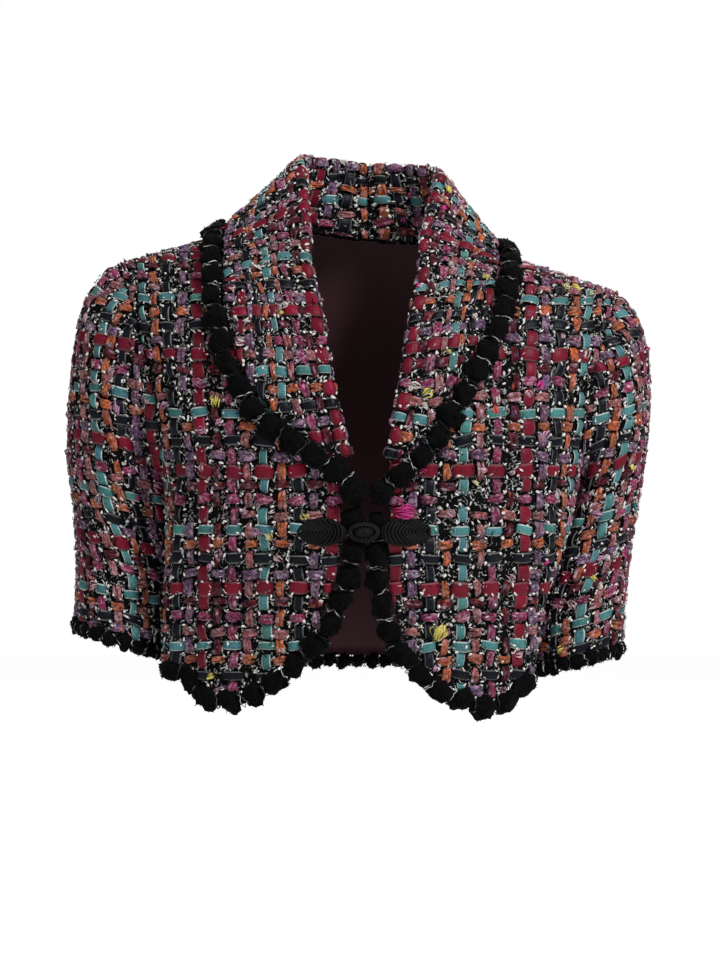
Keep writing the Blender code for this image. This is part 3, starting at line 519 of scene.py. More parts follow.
def panel(grid, face):
    points = body(grid[..., 0], grid[..., 1], face)
    return Wall(points, grid_normals(points, (0, face, 0)))


def finish_side(wall, j, side, face):
    """Gives a panel's outer edge the directions of its seams."""
    wall.normals[:ARM_ROWS + 1, j] = armhole_normal(side, ARM_TURNS, face)
    wall.normals[ARM_ROWS + 1:, j] = (side, 0, 0)
    wall.points[ARM_ROWS:, j, 1] = face * SEAM_DRAW


def front_panel(side):
    first = pairs_of(sample(opening_edge(side), ARM_ROWS + SIDE_ROWS), FRONT)
    last = side_line(side, FRONT)
    top = shoulder_pairs(side, FRONT, FRONT_COLUMNS)
    low = hem_pairs(side, FRONT_COLUMNS)
    first[0], first[-1] = top[0], low[0]
    wall = panel(coons(top, low, first, last), FRONT)
    wall.points[0, :, 1] = FRONT * SEAM_DRAW
    wall.normals[0] = ridge_normal(side)
    finish_side(wall, -1, side, FRONT)
    return wall


def back_panel():
    right, left = (shoulder_pairs(side, BACK, SHOULDER_COLUMNS) for side in SIDES)
    _, right_neck = neck_seam(RIGHT)
    _, left_neck = neck_seam(LEFT)
    neckline = sample(right_neck + list(reversed(left_neck))[1:], NECK_COLUMNS)
    top = np.concatenate([right[::-1], pairs_of(neckline[1:-1], BACK), left])
    share = np.linspace(0, 1, len(top))
    hem = mix(SIDE_HEM_Z[RIGHT], SIDE_HEM_Z[LEFT], share)
    low = np.stack([mix(-90.0, 90.0, share), hem], axis=-1)
    wall = panel(coons(top, low, side_line(RIGHT, BACK), side_line(LEFT, BACK)), BACK)
    for side, j, columns in ((RIGHT, 0, slice(0, SHOULDER_COLUMNS + 1)),
                             (LEFT, -1, slice(-SHOULDER_COLUMNS - 1, None))):
        wall.points[0, columns, 1] = BACK * SEAM_DRAW
        wall.normals[0, columns] = ridge_normal(side)
        finish_side(wall, j, side, BACK)
    return wall


def sleeve_surface(side, t, turn):
    """A sleeve's outer face at section numbers t; turn is 0 on the outer line, to 180 and -180 on the
    inner one, down the front where it is above 0 and down the back where it is below."""
    t, turn = np.broadcast_arrays(np.asarray(t, float), np.asarray(turn, float))
    face = np.where(turn > 0, FRONT, BACK)
    round_by = np.radians(np.abs(turn))

    def oval(cuff):
        share = (1 + np.cos(round_by)) / 2
        x = side * mix(cuff.inner_x, cuff.outer_x, share)
        z = mix(cuff.inner_z, cuff.outer_z, share)
        return np.stack([x, cuff.middle + face * cuff.depth * np.sin(round_by), z], axis=-1)

    numbers = np.arange(SLEEVE_END + 1)
    read = Cuff(*[smooth(numbers, [row[k] for row in SLEEVES[side]])(t) for k in range(len(Cuff._fields))])
    keep = smooth(np.arange(len(ARM_BLEND) + 1), list(ARM_BLEND) + [0.0])(t)
    hole = np.where((face == FRONT)[..., None], armhole(side, np.abs(turn), FRONT),
                    armhole(side, np.abs(turn), BACK))
    points = oval(read) + (hole - oval(SLEEVES[side][0])) * keep[..., None]
    folds = fold_depth("sleeve", points[..., 0], points[..., 2], face)
    points[..., 1] -= face * folds * ease(t)
    return points


def sleeve_panel(side):
    turn = 180 * np.arange(-HALF_RING, HALF_RING) / HALF_RING
    rows = np.linspace(0, SLEEVE_END, SLEEVE_ROWS + 1)
    points = sleeve_surface(side, rows[:, None], turn[None])
    middle = points.mean(axis=1)
    i, j = points.shape[0] // 2, points.shape[1] // 2
    normals = grid_normals(points, points[i, j] - middle[i], closed=True)
    normals[0] = armhole_normal(side, np.abs(turn), np.where(turn > 0, FRONT, BACK))
    return Wall(points, normals, True)


# Collar

def collar_reader(side):
    """A function of 0 to 1, lapel end to centre back: seam, top of the roll and edging points."""
    rows = []
    front_seam, back_seam = neck_seam(side)
    seam = front_seam + back_seam[1:]
    for point, row in zip(seam, LAPELS[side]):
        roll = point + body_normal(point, FRONT) * LAPEL_STAND
        rows.append(np.concatenate([point, roll, body_at(row.trim_x, row.trim_z, FRONT)]))
    for point, row in zip(seam[len(LAPELS[side]):], NECKS[side]):
        roll = (row.roll_x, row.roll_y, row.roll_z)
        rows.append(np.concatenate([point, roll, body_at(row.trim_x, row.trim_z, row.face)]))
    return path(rows)


def push_off_body(points, out, distance):
    """How far points move out to lie at a distance over the body."""
    low, high = np.zeros(points.shape[:-1]), np.full(points.shape[:-1], FARTHEST_PUSH)
    distance = np.broadcast_to(np.asarray(distance, float), low.shape)
    for _ in range(PUSH_HALVINGS):
        middle = (low + high) / 2
        test = points + out * (middle - distance)[..., None]
        within = (fullness(test, face_of(test)) < 0) & (test[..., 2] < shoulder_z(test[..., 0]))
        low, high = np.where(within, middle, low), np.where(within, high, middle)
    return np.where(high > 0.01, high, 0.0)[..., None]


def collar_sections(side, t, rows):
    """Outer points across the collar at stations t: up the stand, over the roll and down the fall."""
    stand_steps, roll_steps, fall_steps = rows
    at = collar_reader(side)
    seam, roll, edging = np.split(at(t), 3, axis=-1)
    face = face_of(seam)
    normal = body_normal(seam, face)
    along = unit(at(np.minimum(t + 0.01, 1.0))[:, :3] - at(np.maximum(t - 0.01, 0.0))[:, :3])
    away = unit(np.cross(normal, along))
    away = away * np.where(dot(away, edging - seam) > 0, 1, -1)
    foot = seam - away * (COLLAR_WALL + NECK_DRAW) - normal * SOLID_WALL

    up = unit(roll - seam)
    level = edging + body_normal(edging, face_of(edging)) * COLLAR_REST
    out = level - roll
    edge = level - unit(out) * (BOBBLE_HALF + REST)
    out = unit(out - up * dot(out, up))
    centre = roll - up * COLLAR_ROLL

    def seen(points):
        """Angle and distance of points round the roll's centre."""
        across, above = dot(points - centre, out), dot(points - centre, up)
        return np.arctan2(above, across), np.maximum(np.hypot(across, above), COLLAR_ROLL + 0.01)

    foot_angle, foot_reach = seen(foot)
    edge_angle, edge_reach = seen(edge)
    start = foot_angle % math.tau - np.arccos(COLLAR_ROLL / foot_reach)
    end = edge_angle + np.arccos(COLLAR_ROLL / edge_reach)
    arc = []
    for k in range(roll_steps + 1):
        angle = mix(start, end, k / roll_steps)
        arc.append(centre + (out * np.cos(angle) + up * np.sin(angle)) * COLLAR_ROLL)
    run = edge - arc[-1]
    lift = unit(up * dot(run, out) - out * dot(run, up))
    stand = [mix(foot, arc[0], k / stand_steps) for k in range(stand_steps)]
    fall = []
    for k in range(1, fall_steps + 1):
        points = arc[-1] + run * (k / fall_steps)
        fall.append(points + lift * push_off_body(points, lift, COLLAR_REST))
    return np.stack(stand + arc + fall, axis=1)


def collar_panel():
    share = np.arange(COLLAR_STATIONS + 1) / COLLAR_STATIONS
    right, left = (collar_sections(side, share, COLLAR_ROWS) for side in SIDES)
    points = np.concatenate([right, left[-2::-1]])
    return Wall(points, grid_normals(points, (0, 1, 0.3)))


# Cloth coordinates

LATTICE = 2.0  # spacing of a lattice, both ways


class Cloth:
    """A panel's outer face on an even lattice, u across and v up: layers hold x, y, z and the margin,
    which is the distance in from the panel's edge."""

    def __init__(self, u, v, layers, facing, skew=None):
        self.start = (u[0], v[0])
        self.points, self.margin = layers[..., :3], layers[..., 3]
        across, up = np.gradient(self.points, axis=1), np.gradient(self.points, axis=0)
        self.normals = facing * unit(np.cross(across, up))
        self.skew = skew or (lambda across, up: (across, up))

    def read(self, lattice, u, v):
        """Values of a lattice at yarn coordinates."""
        u, v = self.skew(u, v)
        rows, columns = lattice.shape[:2]
        x = np.clip((u - self.start[0]) / LATTICE, 0, columns - 1.001)
        y = np.clip((v - self.start[1]) / LATTICE, 0, rows - 1.001)
        j, i = x.astype(int), y.astype(int)
        s, t = x - j, y - i
        if lattice.ndim == 3:
            s, t = s[..., None], t[..., None]
        low = mix(lattice[i, j], lattice[i, j + 1], s)
        high = mix(lattice[i + 1, j], lattice[i + 1, j + 1], s)
        return mix(low, high, t)

    def inside(self, u, v):
        """Distance in from the panel's edge, less than 0 outside it."""
        across, up = self.skew(u, v)
        rows, columns = self.margin.shape
        low_u, low_v = self.start
        high_u, high_v = low_u + LATTICE * (columns - 1), low_v + LATTICE * (rows - 1)
        beyond = np.maximum.reduce([low_u - across, across - high_u, low_v - up, up - high_v, 0 * up])
        return self.read(self.margin, u, v) - beyond

    def place(self, u, v, height):
        """Points at a height over the cloth."""
        return self.read(self.points, u, v) + unit(self.read(self.normals, u, v)) * height[..., None]


def even_rows(across, layers, u):
    """Resamples each row of layers from its own places across to even ones."""
    out = np.empty((len(layers), len(u), layers.shape[-1]))
    for i, places in enumerate(across):
        for k in range(layers.shape[-1]):
            out[i, :, k] = np.interp(u, places, layers[i, :, k])
    return out


def even_columns(heights, layers, v):
    """Resamples each column of layers from its own heights to even ones."""
    return even_rows(heights.T, layers.swapaxes(0, 1), v).swapaxes(0, 1)


def even_lengths(levels, layers, limit):
    """Resamples each column to even lengths up the cloth above a limit height, and even heights below."""
    steps = np.linalg.norm(np.diff(layers[..., :3], axis=0), axis=-1)
    plain = np.diff(levels)[:, None]
    steps = np.where(levels[1:, None] > limit, np.maximum(steps, plain), plain)
    reach = levels[0] + np.concatenate([0 * steps[:1], np.cumsum(steps, axis=0)])
    v = np.arange(levels[0], reach.max(), LATTICE)
    return v, even_columns(reach, layers, v)


BODY_SPAN = 270.0  # half the lattice of a body panel
BODY_LOW, BODY_TOP = -390.0, 10.0  # heights that it covers
BODY_ANGLES = 361
GRAIN_LIMIT = -70.0  # above this height the cloth's length up the shoulder counts
FINE_LEVELS = 0.5  # spacing of the levels there


def to_ridge(points):
    """Distance from the shoulder seam, which lies over the middle plane, and less than 0 above it."""
    below = shoulder_z(points[..., 0]) - points[..., 2]
    return np.sign(below) * np.hypot(below, points[..., 1])


def body_lattice(face, margin_of):
    """Lattice of a body face, with u as the length round it and v as the height."""
    angle = np.linspace(-90, 90, BODY_ANGLES)
    levels = np.concatenate([np.arange(BODY_LOW, GRAIN_LIMIT, LATTICE),
                             np.arange(GRAIN_LIMIT, BODY_TOP, FINE_LEVELS)])
    across = reach_of(body(angle[None], levels[:, None], face, roofed=False), axis=1)
    across -= across[:, BODY_ANGLES // 2, None]
    points = body(angle[None], levels[:, None], face)
    margin = margin_of(angle, levels, across, points)
    u = np.arange(-BODY_SPAN, BODY_SPAN + 1, LATTICE)
    v, layers = even_lengths(levels, even_rows(across, np.dstack([points, margin]), u), GRAIN_LIMIT)
    return u, v, layers


def reach_at(limit, angle, across):
    """Length round each level to the angle where its limit lies."""
    return np.array([np.interp(turn, angle, row) for turn, row in zip(limit, across)])[:, None]


def arm_margin(side, face, angle, levels, across):
    """Distance in from the armhole and the side seam, along each level."""
    hole = pairs_of(armhole(side, np.linspace(0, 180, 61), face), face)
    hole[0], hole[-1] = (side * 90.0, TIP_Z[side]), (side * 90.0, UNDERARM_Z)
    limit = np.interp(levels, hole[::-1, 1], hole[::-1, 0])
    limit = np.where(levels <= UNDERARM_Z, side * 90.0, limit)
    return side * (reach_at(limit, angle, across) - across)


def front_margin(side):
    edge = sample(opening_edge(side), 200)
    hem = hem_pairs(side, 120)
    hem = hem[np.argsort(hem[:, 0])]

    def margin(angle, levels, across, points):
        order = np.argsort(edge[:, 2])
        edge_angle = angle_at(np.interp(levels, edge[order, 2], edge[order, 0]), levels, FRONT)
        opening = side * (across - reach_at(edge_angle, angle, across))
        above_hem = levels[:, None] - np.interp(angle, hem[:, 0], hem[:, 1])[None]
        limits = (opening, above_hem, to_ridge(points), arm_margin(side, FRONT, angle, levels, across))
        return np.minimum.reduce(np.broadcast_arrays(*limits))

    return margin


def back_margin(angle, levels, across, points):
    neck = np.array(neck_seam(RIGHT)[1] + list(reversed(neck_seam(LEFT)[1]))[1:])
    x, z = points[..., 0], points[..., 2]
    top = np.where(np.abs(x) < NECK_X, np.interp(x, neck[:, 0], neck[:, 2]) - z, to_ridge(points))
    hem = mix(SIDE_HEM_Z[RIGHT], SIDE_HEM_Z[LEFT], (angle + 90) / 180)[None]
    limits = (top, levels[:, None] - hem, arm_margin(RIGHT, BACK, angle, levels, across),
              arm_margin(LEFT, BACK, angle, levels, across))
    return np.minimum.reduce(np.broadcast_arrays(*limits))


# Grain of a sleeve: how far its rows drop towards the body, how far its columns lean in on the way
# down, and the height that its columns lean about
Grain = namedtuple("Grain", "drop lean level")
SLEEVE_GRAIN = {RIGHT: Grain(0.2, 0.16, -300.0), LEFT: Grain(0.28, 0.08, -300.0)}
SLEEVE_SPAN = 170.0
SLEEVE_STATIONS = 181  # down it, and round it
CAP = 60.0  # depth of the sleeve's cap, where the cloth's length up it counts


def sleeve_cloth(side):
    """Cloth of a sleeve, with u as the length round it from its outer line and v up its rows."""
    grain = SLEEVE_GRAIN[side]
    t = np.linspace(0, SLEEVE_END, SLEEVE_STATIONS)
    turn = np.linspace(-180, 180, SLEEVE_STATIONS)
    surface = sleeve_surface(side, t[:, None], turn[None])
    level = surface[..., 2] - grain.drop * np.abs(surface[..., 0])
    levels = np.arange(level.min() - LATTICE, level.max() + LATTICE, LATTICE)
    points = even_columns(level[::-1], surface[::-1], levels)
    margin = np.minimum(level[0][None] - levels[:, None], levels[:, None] - level[-1][None])
    across = reach_of(points, axis=1)
    across -= across[:, SLEEVE_STATIONS // 2, None]
    edge = np.minimum(across - across[:, :1], across[:, -1:] - across)
    u = np.arange(-SLEEVE_SPAN, SLEEVE_SPAN + 1, LATTICE)
    layers = even_rows(across, np.dstack([points, np.minimum(margin, edge)]), u)
    beyond = np.maximum(across[:, :1] - u[None], u[None] - across[:, -1:])
    layers[..., 3] = np.minimum(layers[..., 3], -beyond)
    v, layers = even_lengths(levels, layers, level[0].max() - CAP)

    def skew(across, up):
        return across - grain.lean * (up - grain.level), up

    return Cloth(u, v, layers, -side, skew)


COLLAR_LEAN = 0.2  # lean of the roll, which the outer columns don't follow
COLLAR_DROP = 0.36  # how far the collar's own sections drop outwards in front
LEAN_FROM, LEAN_TO = 20.0, 60.0
LEAN_LEVEL = 60.0  # place up the roll that the lean is about
FRONT_END, FRONT_FADE = 0.42, 50.0  # station where the level rows begin to follow the neck, and over how far
CENTRE_LAP = 1.5  # yarns of both halves meet at the centre back


def collar_cloth(side):
    """Cloth of half the collar, with u as the distance out from the roll and v up it from the lapel's
    end. In front its rows are level and its outer columns upright; at the back both follow the neck."""
    stations = np.linspace(0, 1, 241)
    rows = stand, rolled, _ = 8, 16, 40
    sections = collar_sections(side, stations, rows)
    crest = stand + rolled // 2
    length = reach_of(sections[:, crest])
    v = np.arange(0.0, length[-1], LATTICE)
    across = reach_of(sections, axis=1)
    across -= across[:, crest, None]
    u = np.arange(-80.0, 121.0, LATTICE)
    beyond = np.minimum(u[None] - across[:, :1], across[:, -1:] - u[None])
    ends = np.minimum(length, length[-1] + CENTRE_LAP - length)
    layers = np.dstack([even_rows(across, sections, u), np.minimum(beyond, ends[:, None])])
    layers = even_columns(np.repeat(length[:, None], len(u), axis=1), layers, v)
    in_front = 1 - ease((v - np.interp(FRONT_END, stations, length)) / FRONT_FADE)

    def skew(across, up):
        row, out = up, across
        for _ in range(6):
            lean = COLLAR_LEAN * ease((out - LEAN_FROM) / (LEAN_TO - LEAN_FROM))
            front = np.interp(row, v, in_front)
            row = up + COLLAR_DROP * np.clip(out, 0, None) * front
            out = across - lean * (row - LEAN_LEVEL) * front
        return out, row

    return Cloth(u, v, layers, side, skew)


# Meshes

class Batch:
    """Shapes with the same faces, gathered for one mesh: their points, colours and UVs."""

    def __init__(self):
        self.points, self.faces, self.tints, self.uvs = [], [], [], []
        self.count = 0

    def add(self, points, faces, tint=(1, 1, 1, 1), uv=None):
        """points holds the points of one closed shape after another, faces a list of index arrays for
        one shape, and tint one colour for all, for each shape or for each point."""
        if len(points) == 0:
            return
        points = points.reshape(len(points), -1, 3)
        shapes, size = points.shape[:2]
        centre = points.mean(axis=1, keepdims=True)
        corners = faces[0]
        a, b, c = (points[:, corners[:, k]] - centre for k in range(3))
        outward = np.sum(np.cross(b - a, c - a) * (a + b + c)) > 0
        starts = self.count + size * np.arange(shapes)[:, None, None]
        for group in faces:
            group = group if outward else group[:, ::-1]
            self.faces.append((group[None] + starts).reshape(-1, group.shape[1]))
        self.points.append(points.reshape(-1, 3))
        tint = np.asarray(tint, float)
        if tint.ndim < 3:
            tint = np.broadcast_to(tint, (shapes, 4))[:, None]
        self.tints.append(np.broadcast_to(tint, (shapes, size, 4)).reshape(-1, 4))
        uv = np.zeros((size, 2)) if uv is None else uv.reshape(-1, size, 2)
        self.uvs.append(np.broadcast_to(uv, (shapes, size, 2)).reshape(-1, 2))
        self.count += shapes * size

    def piece(self, name, material, slot):
        obj = add_piece(name, np.concatenate(self.points), self.faces, [material], slot)
        mesh = obj.data
        tint = mesh.color_attributes.new("tint", "FLOAT_COLOR", "POINT")
        tint.data.foreach_set("color", np.concatenate(self.tints).astype(np.float32).ravel())
        uv = np.concatenate(self.uvs)
        corner = np.empty(len(mesh.loops), np.int32)
        mesh.loops.foreach_get("vertex_index", corner)
        layer = mesh.uv_layers.new(name="yarn")
        layer.uv.foreach_set("vector", uv[corner].astype(np.float32).ravel())
        return obj


def add_piece(name, points, faces, materials, slot):
    """An object that rides on the jacket, from points in millimetres and arrays of faces."""
    mesh = bpy.data.meshes.new(name)
    corners = np.concatenate([group.ravel() for group in faces]).astype(np.int32)
    sizes = np.concatenate([np.full(len(group), group.shape[1]) for group in faces])
    mesh.vertices.add(len(points))
    mesh.vertices.foreach_set("co", (points * MM).astype(np.float32).ravel())
    mesh.loops.add(len(corners))
    mesh.loops.foreach_set("vertex_index", corners)
    mesh.polygons.add(len(sizes))
    starts = np.concatenate([[0], np.cumsum(sizes)[:-1]]).astype(np.int32)
    mesh.polygons.foreach_set("loop_start", starts)
    mesh.update(calc_edges=True)
    mesh.shade_smooth()
    for material in materials:
        mesh.materials.append(material)
    obj = bpy.data.objects.new(name, mesh)
    bpy.context.scene.collection.objects.link(obj)
    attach(obj, "root")
    return obj


def tube_faces(stations, sides, closed=False):
    """Faces of a tube whose points go ring by ring: capped at both ends, or closed on itself."""
    ring = np.arange(sides)
    after = (ring + 1) % sides
    quads = []
    for k in range(stations if closed else stations - 1):
        low, high = k * sides, (k + 1) % stations * sides
        quads.append(np.stack([low + ring, low + after, high + after, high + ring], axis=-1))
    caps = [] if closed else [np.array([ring[::-1], (stations - 1) * sides + ring])]
    return [np.concatenate(quads), *caps]


def turns_of(count, shift=0.0):
    """Angles of places evenly round a circle."""
    return math.tau * (np.arange(count) + shift) / count


def ring_of(sides, across, up, wide, deep):
    """Places round sections, from their directions across and up and their half width and depth."""
    corner = turns_of(sides)[None, :, None]
    return wide * np.cos(corner) * across[:, None] + deep * np.sin(corner) * up[:, None]


def ball(subdivisions):
    """Points and faces of a ball of even triangles."""
    bpy.ops.object.select_all(action="DESELECT")
    bpy.ops.mesh.primitive_ico_sphere_add(subdivisions=subdivisions, radius=1.0)
    obj = bpy.context.object
    points = np.array([vert.co[:] for vert in obj.data.vertices])
    faces = np.array([face.vertices[:] for face in obj.data.polygons])
    bpy.data.objects.remove(obj, do_unlink=True)
    return points, faces


# Shells

def shell(name, wall, thickness):
    """A thin closed shell of cloth under the yarns, with bouclé outside and lining cloth inside."""
    rows, columns = wall.points.shape[:2]
    outer = wall.points - wall.normals * SINK
    inner = outer - wall.normals * thickness
    depth = rows * columns
    number = np.arange(depth).reshape(rows, columns)
    across = np.concatenate([number, number[:, :1]], axis=1) if wall.closed else number
    corners = (across[:-1, :-1], across[1:, :-1], across[1:, 1:], across[:-1, 1:])
    skin = np.stack([corner.ravel() for corner in corners], axis=-1)
    rims = [across[0], across[-1][::-1]]
    if not wall.closed:
        rims += [across[::-1, 0], across[:, -1]]
    edge = np.concatenate([np.stack([rim[:-1], rim[1:], rim[1:] + depth, rim[:-1] + depth], axis=-1)
                           for rim in rims])
    p, q, r = (outer.reshape(-1, 3)[skin[len(skin) // 2, k]] for k in range(3))
    middle = wall.normals.reshape(-1, 3)[skin[len(skin) // 2, 0]]
    if np.dot(np.cross(q - p, r - p), middle) < 0:
        skin, edge = skin[:, ::-1], edge[:, ::-1]
    lining = (skin + depth)[:, ::-1]
    points = np.concatenate([outer.reshape(-1, 3), inner.reshape(-1, 3)])
    obj = add_piece(f"{name}_cloth", points, [skin, edge[:, ::-1], lining], [GROUND, LINING], "tweed")
    index = np.zeros(len(obj.data.polygons), np.int32)
    index[-len(lining):] = 1
    obj.data.polygons.foreach_set("material_index", index)
    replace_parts(obj, name)
    return obj


# Materials

def linear(red, green, blue):
    """Linear colour from the 0 to 255 values that a dyer's chart gives."""
    out = []
    for value in (red, green, blue):
        value /= 255
        out.append(value / 12.92 if value <= 0.04045 else ((value + 0.055) / 1.055) ** 2.4)
    return (*out, 1.0)


def add_node(tree, kind, links=None, **settings):
    """A shader node with its settings, its inputs linked from sockets or set to values."""
    node = tree.nodes.new(f"ShaderNode{kind}")
    for name, value in settings.items():
        setattr(node, name, value)
    for key, source in (links or {}).items():
        socket = node.inputs[key]
        if isinstance(source, bpy.types.NodeSocket):
            tree.links.new(source, socket)
        else:
            socket.default_value = source
    return node


def maths(tree, operation, first, second=0.5, clamp=False):
    """One sum on one or two values."""
    node = add_node(tree, "Math", {0: first, 1: second}, operation=operation, use_clamp=clamp)
    return node.outputs[0]


def ranged(tree, value, low, high, start=0.0, end=1.0):
    """A value brought from low and high to start and end."""
    limits = {"Value": value, "From Min": low, "From Max": high, "To Min": start, "To Max": end}
    return add_node(tree, "MapRange", limits).outputs["Result"]


def noise(tree, scale, detail, roughness=0.5):
    """Noise in the object's own space."""
    place = add_node(tree, "TexCoord").outputs["Object"]
    inputs = {"Vector": place, "Scale": scale, "Detail": detail, "Roughness": roughness}
    return add_node(tree, "TexNoise", inputs).outputs["Fac"]


def mixed(tree, share, first, second):
    """A colour between two others."""
    node = add_node(tree, "Mix", {"Factor": share, "A": first, "B": second}, data_type="RGBA")
    return node.outputs["Result"]


def scaled(tree, colour, factor):
    """A colour multiplied by a value."""
    node = add_node(tree, "VectorMath", {0: colour, "Scale": factor}, operation="SCALE")
    return node.outputs["Vector"]


def fibre_group():
    """Fibres and shade of spun yarn: a value about 1 for its colour, and a height."""
    group = bpy.data.node_groups.new("fibre", "ShaderNodeTree")
    for label, value in (("Scale", 900.0), ("Low", 0.6), ("High", 1.3)):
        socket = group.interface.new_socket(label, in_out="INPUT", socket_type="NodeSocketFloat")
        socket.default_value = value
    for label in ("Shade", "Height"):
        group.interface.new_socket(label, in_out="OUTPUT", socket_type="NodeSocketFloat")
    given, out = group.nodes.new("NodeGroupInput"), group.nodes.new("NodeGroupOutput")
    fine = noise(group, given.outputs["Scale"], 3.0, 0.65)
    shade = ranged(group, fine, 0.3, 0.7, given.outputs["Low"], given.outputs["High"])
    group.links.new(shade, out.inputs["Shade"])
    group.links.new(fine, out.inputs["Height"])
    return group


FIBRE = fibre_group()


def fibres(tree, scale, low, high):
    """Shade and height of fibres at a scale, with the shade from low to high."""
    node = add_node(tree, "Group", {"Scale": scale, "Low": low, "High": high}, node_tree=FIBRE)
    return node.outputs["Shade"], node.outputs["Height"]


def new_material(name, rough, shine=0.5, **sockets):
    """A Principled material with the sockets that are the same all over."""
    material = bpy.data.materials.new(name)
    material.use_nodes = True
    tree = material.node_tree
    sockets.update(Roughness=rough, Specular_IOR_Level=shine)
    for label, value in sockets.items():
        tree.nodes["Principled BSDF"].inputs[label.replace("_", " ")].default_value = value
    return material, tree


def dressed(material, colour, height=None, distance=0.0, strength=0.0):
    """The material with its colour and its bumps, whose distance is in metres."""
    tree = material.node_tree
    shader = tree.nodes["Principled BSDF"]
    tree.links.new(colour, shader.inputs["Base Color"])
    if height is not None:
        bump = add_node(tree, "Bump", {"Height": height, "Distance": distance, "Strength": strength})
        tree.links.new(bump.outputs["Normal"], shader.inputs["Normal"])
    return material


def yarn_tint(tree):
    """A yarn's own colour, and how much pale edge or fibre it shows; a ribbon's pale edge is partly painted
    highlight.
    """
    tint = add_node(tree, "Attribute", attribute_name="tint")
    return tint.outputs["Color"], tint.outputs["Alpha"]


def yarn_places(tree):
    """Places across or round a yarn, and along it."""
    place = add_node(tree, "UVMap", uv_map="yarn")
    split = add_node(tree, "SeparateXYZ", {0: place.outputs["UV"]})
    return split.outputs["X"], split.outputs["Y"]


def ground_material():
    """Black bouclé between the thick yarns, with patches of fine white curls."""
    material, tree = new_material("boucle_ground", rough=0.85, shine=0.1)
    away = maths(tree, "ABSOLUTE", maths(tree, "SUBTRACT", noise(tree, 300.0, 1.0), 0.5))
    line = ranged(tree, away, 0.055, 0.0)
    curls = maths(tree, "MULTIPLY", line, ranged(tree, noise(tree, 260.0, 1.0), 0.5, 0.56))
    shade, _ = fibres(tree, 1500.0, 0.4, 1.6)
    colour = mixed(tree, curls, scaled(tree, linear(9, 9, 11)[:3], shade), linear(222, 220, 214))
    return dressed(material, colour, line, 0.0008, 0.9)


def lining_material():
    """Plain muted burgundy cloth of the inner faces."""
    material, tree = new_material("lining_cloth", rough=0.7, Sheen_Weight=0.1)
    shade, height = fibres(tree, 1400.0, 0.75, 1.2)
    return dressed(material, scaled(tree, linear(62, 22, 30)[:3], shade), height, 0.0002, 0.5)


RIB_PITCH = 1.7  # ribs across a ribbon
PALE_EDGE_AND_HIGHLIGHT = (0.35, 0.42)  # from the middle of a ribbon's width, where its pale edge sets in, which is partly its own light edge line and partly painted highlight


def ribbon_material():
    """Flat ribbon yarn with pale edges, partly painted highlight, and fine ribs across it, with painted shade
    in the grooves between the ribs.
    """
    material, tree = new_material("ribbon_yarn", rough=0.45, shine=0.16, Sheen_Weight=0.02)
    tint, alpha = yarn_tint(tree)
    across, along = yarn_places(tree)
    shade, _ = fibres(tree, 700.0, 0.6, 1.25)
    out = maths(tree, "ABSOLUTE", maths(tree, "SUBTRACT", across, 0.5))
    # pale edges on both sides, partly the ribbon's own light edge line and partly a painted highlight
    pale = maths(tree, "MULTIPLY", ranged(tree, out, *PALE_EDGE_AND_HIGHLIGHT), alpha)
    ribs = maths(tree, "SINE", maths(tree, "MULTIPLY", along, math.tau / RIB_PITCH))
    # painted shade: the colour is darker in the ribs' grooves and a little lighter on their crests, following
    # the rib bump
    factor = maths(tree, "MULTIPLY", shade, ranged(tree, ribs, -1.0, 1.0, 0.74, 1.1))
    colour = mixed(tree, pale, scaled(tree, tint, factor), linear(225, 232, 230))
    return dressed(material, colour, ribs, 0.0001, 0.5)


def slub_material():
    """Thick soft yarn, its colour broken by paler and darker fibres."""
    material, tree = new_material("slub_yarn", rough=0.9, shine=0.1, Sheen_Weight=0.05)
    tint, alpha = yarn_tint(tree)
    shade, height = fibres(tree, 620.0, 0.2, 1.5)
    pale, _ = fibres(tree, 420.0, -0.9, 1.0)
    share = maths(tree, "MULTIPLY", pale, alpha, clamp=True)
    colour = mixed(tree, share, scaled(tree, tint, shade), linear(214, 190, 202))
    return dressed(material, colour, height, 0.0008, 0.9)


def thread_material():
    """Thin bouclé and tuft threads in their own colours."""
    material, tree = new_material("boucle_thread", rough=0.7, shine=0.3)
    shade, _ = fibres(tree, 1300.0, 0.75, 1.15)
    return dressed(material, scaled(tree, yarn_tint(tree)[0], shade))


def chenille_material():
    """Black velvety pile."""
    material, tree = new_material("chenille_pile", rough=0.9, shine=0.06, Sheen_Weight=0.015,
                                  Sheen_Roughness=0.4)
    shade, height = fibres(tree, 520.0, 0.05, 2.4)
    return dressed(material, scaled(tree, linear(7, 7, 8)[:3], shade), height, 0.0009, 1.0)


BRAID_PITCH = 1.5  # slant stitches along a soutache cord


def soutache_material():
    """Black silky braid with slanting stitches."""
    material, tree = new_material("soutache_braid", rough=0.42, shine=0.14)
    round_by, along = yarn_places(tree)
    turn = maths(tree, "MULTIPLY", round_by, math.tau)
    run = maths(tree, "MULTIPLY", along, math.tau / BRAID_PITCH)
    stitch = maths(tree, "SINE", maths(tree, "ADD", turn, run))
    shade, _ = fibres(tree, 1500.0, 0.6, 1.5)
    return dressed(material, scaled(tree, linear(10, 11, 11)[:3], shade), stitch, 0.0002, 0.5)


GROUND, LINING, RIBBON, SLUB = ground_material(), lining_material(), ribbon_material(), slub_material()
THREAD, CHENILLE, SOUTACHE = thread_material(), chenille_material(), soutache_material()
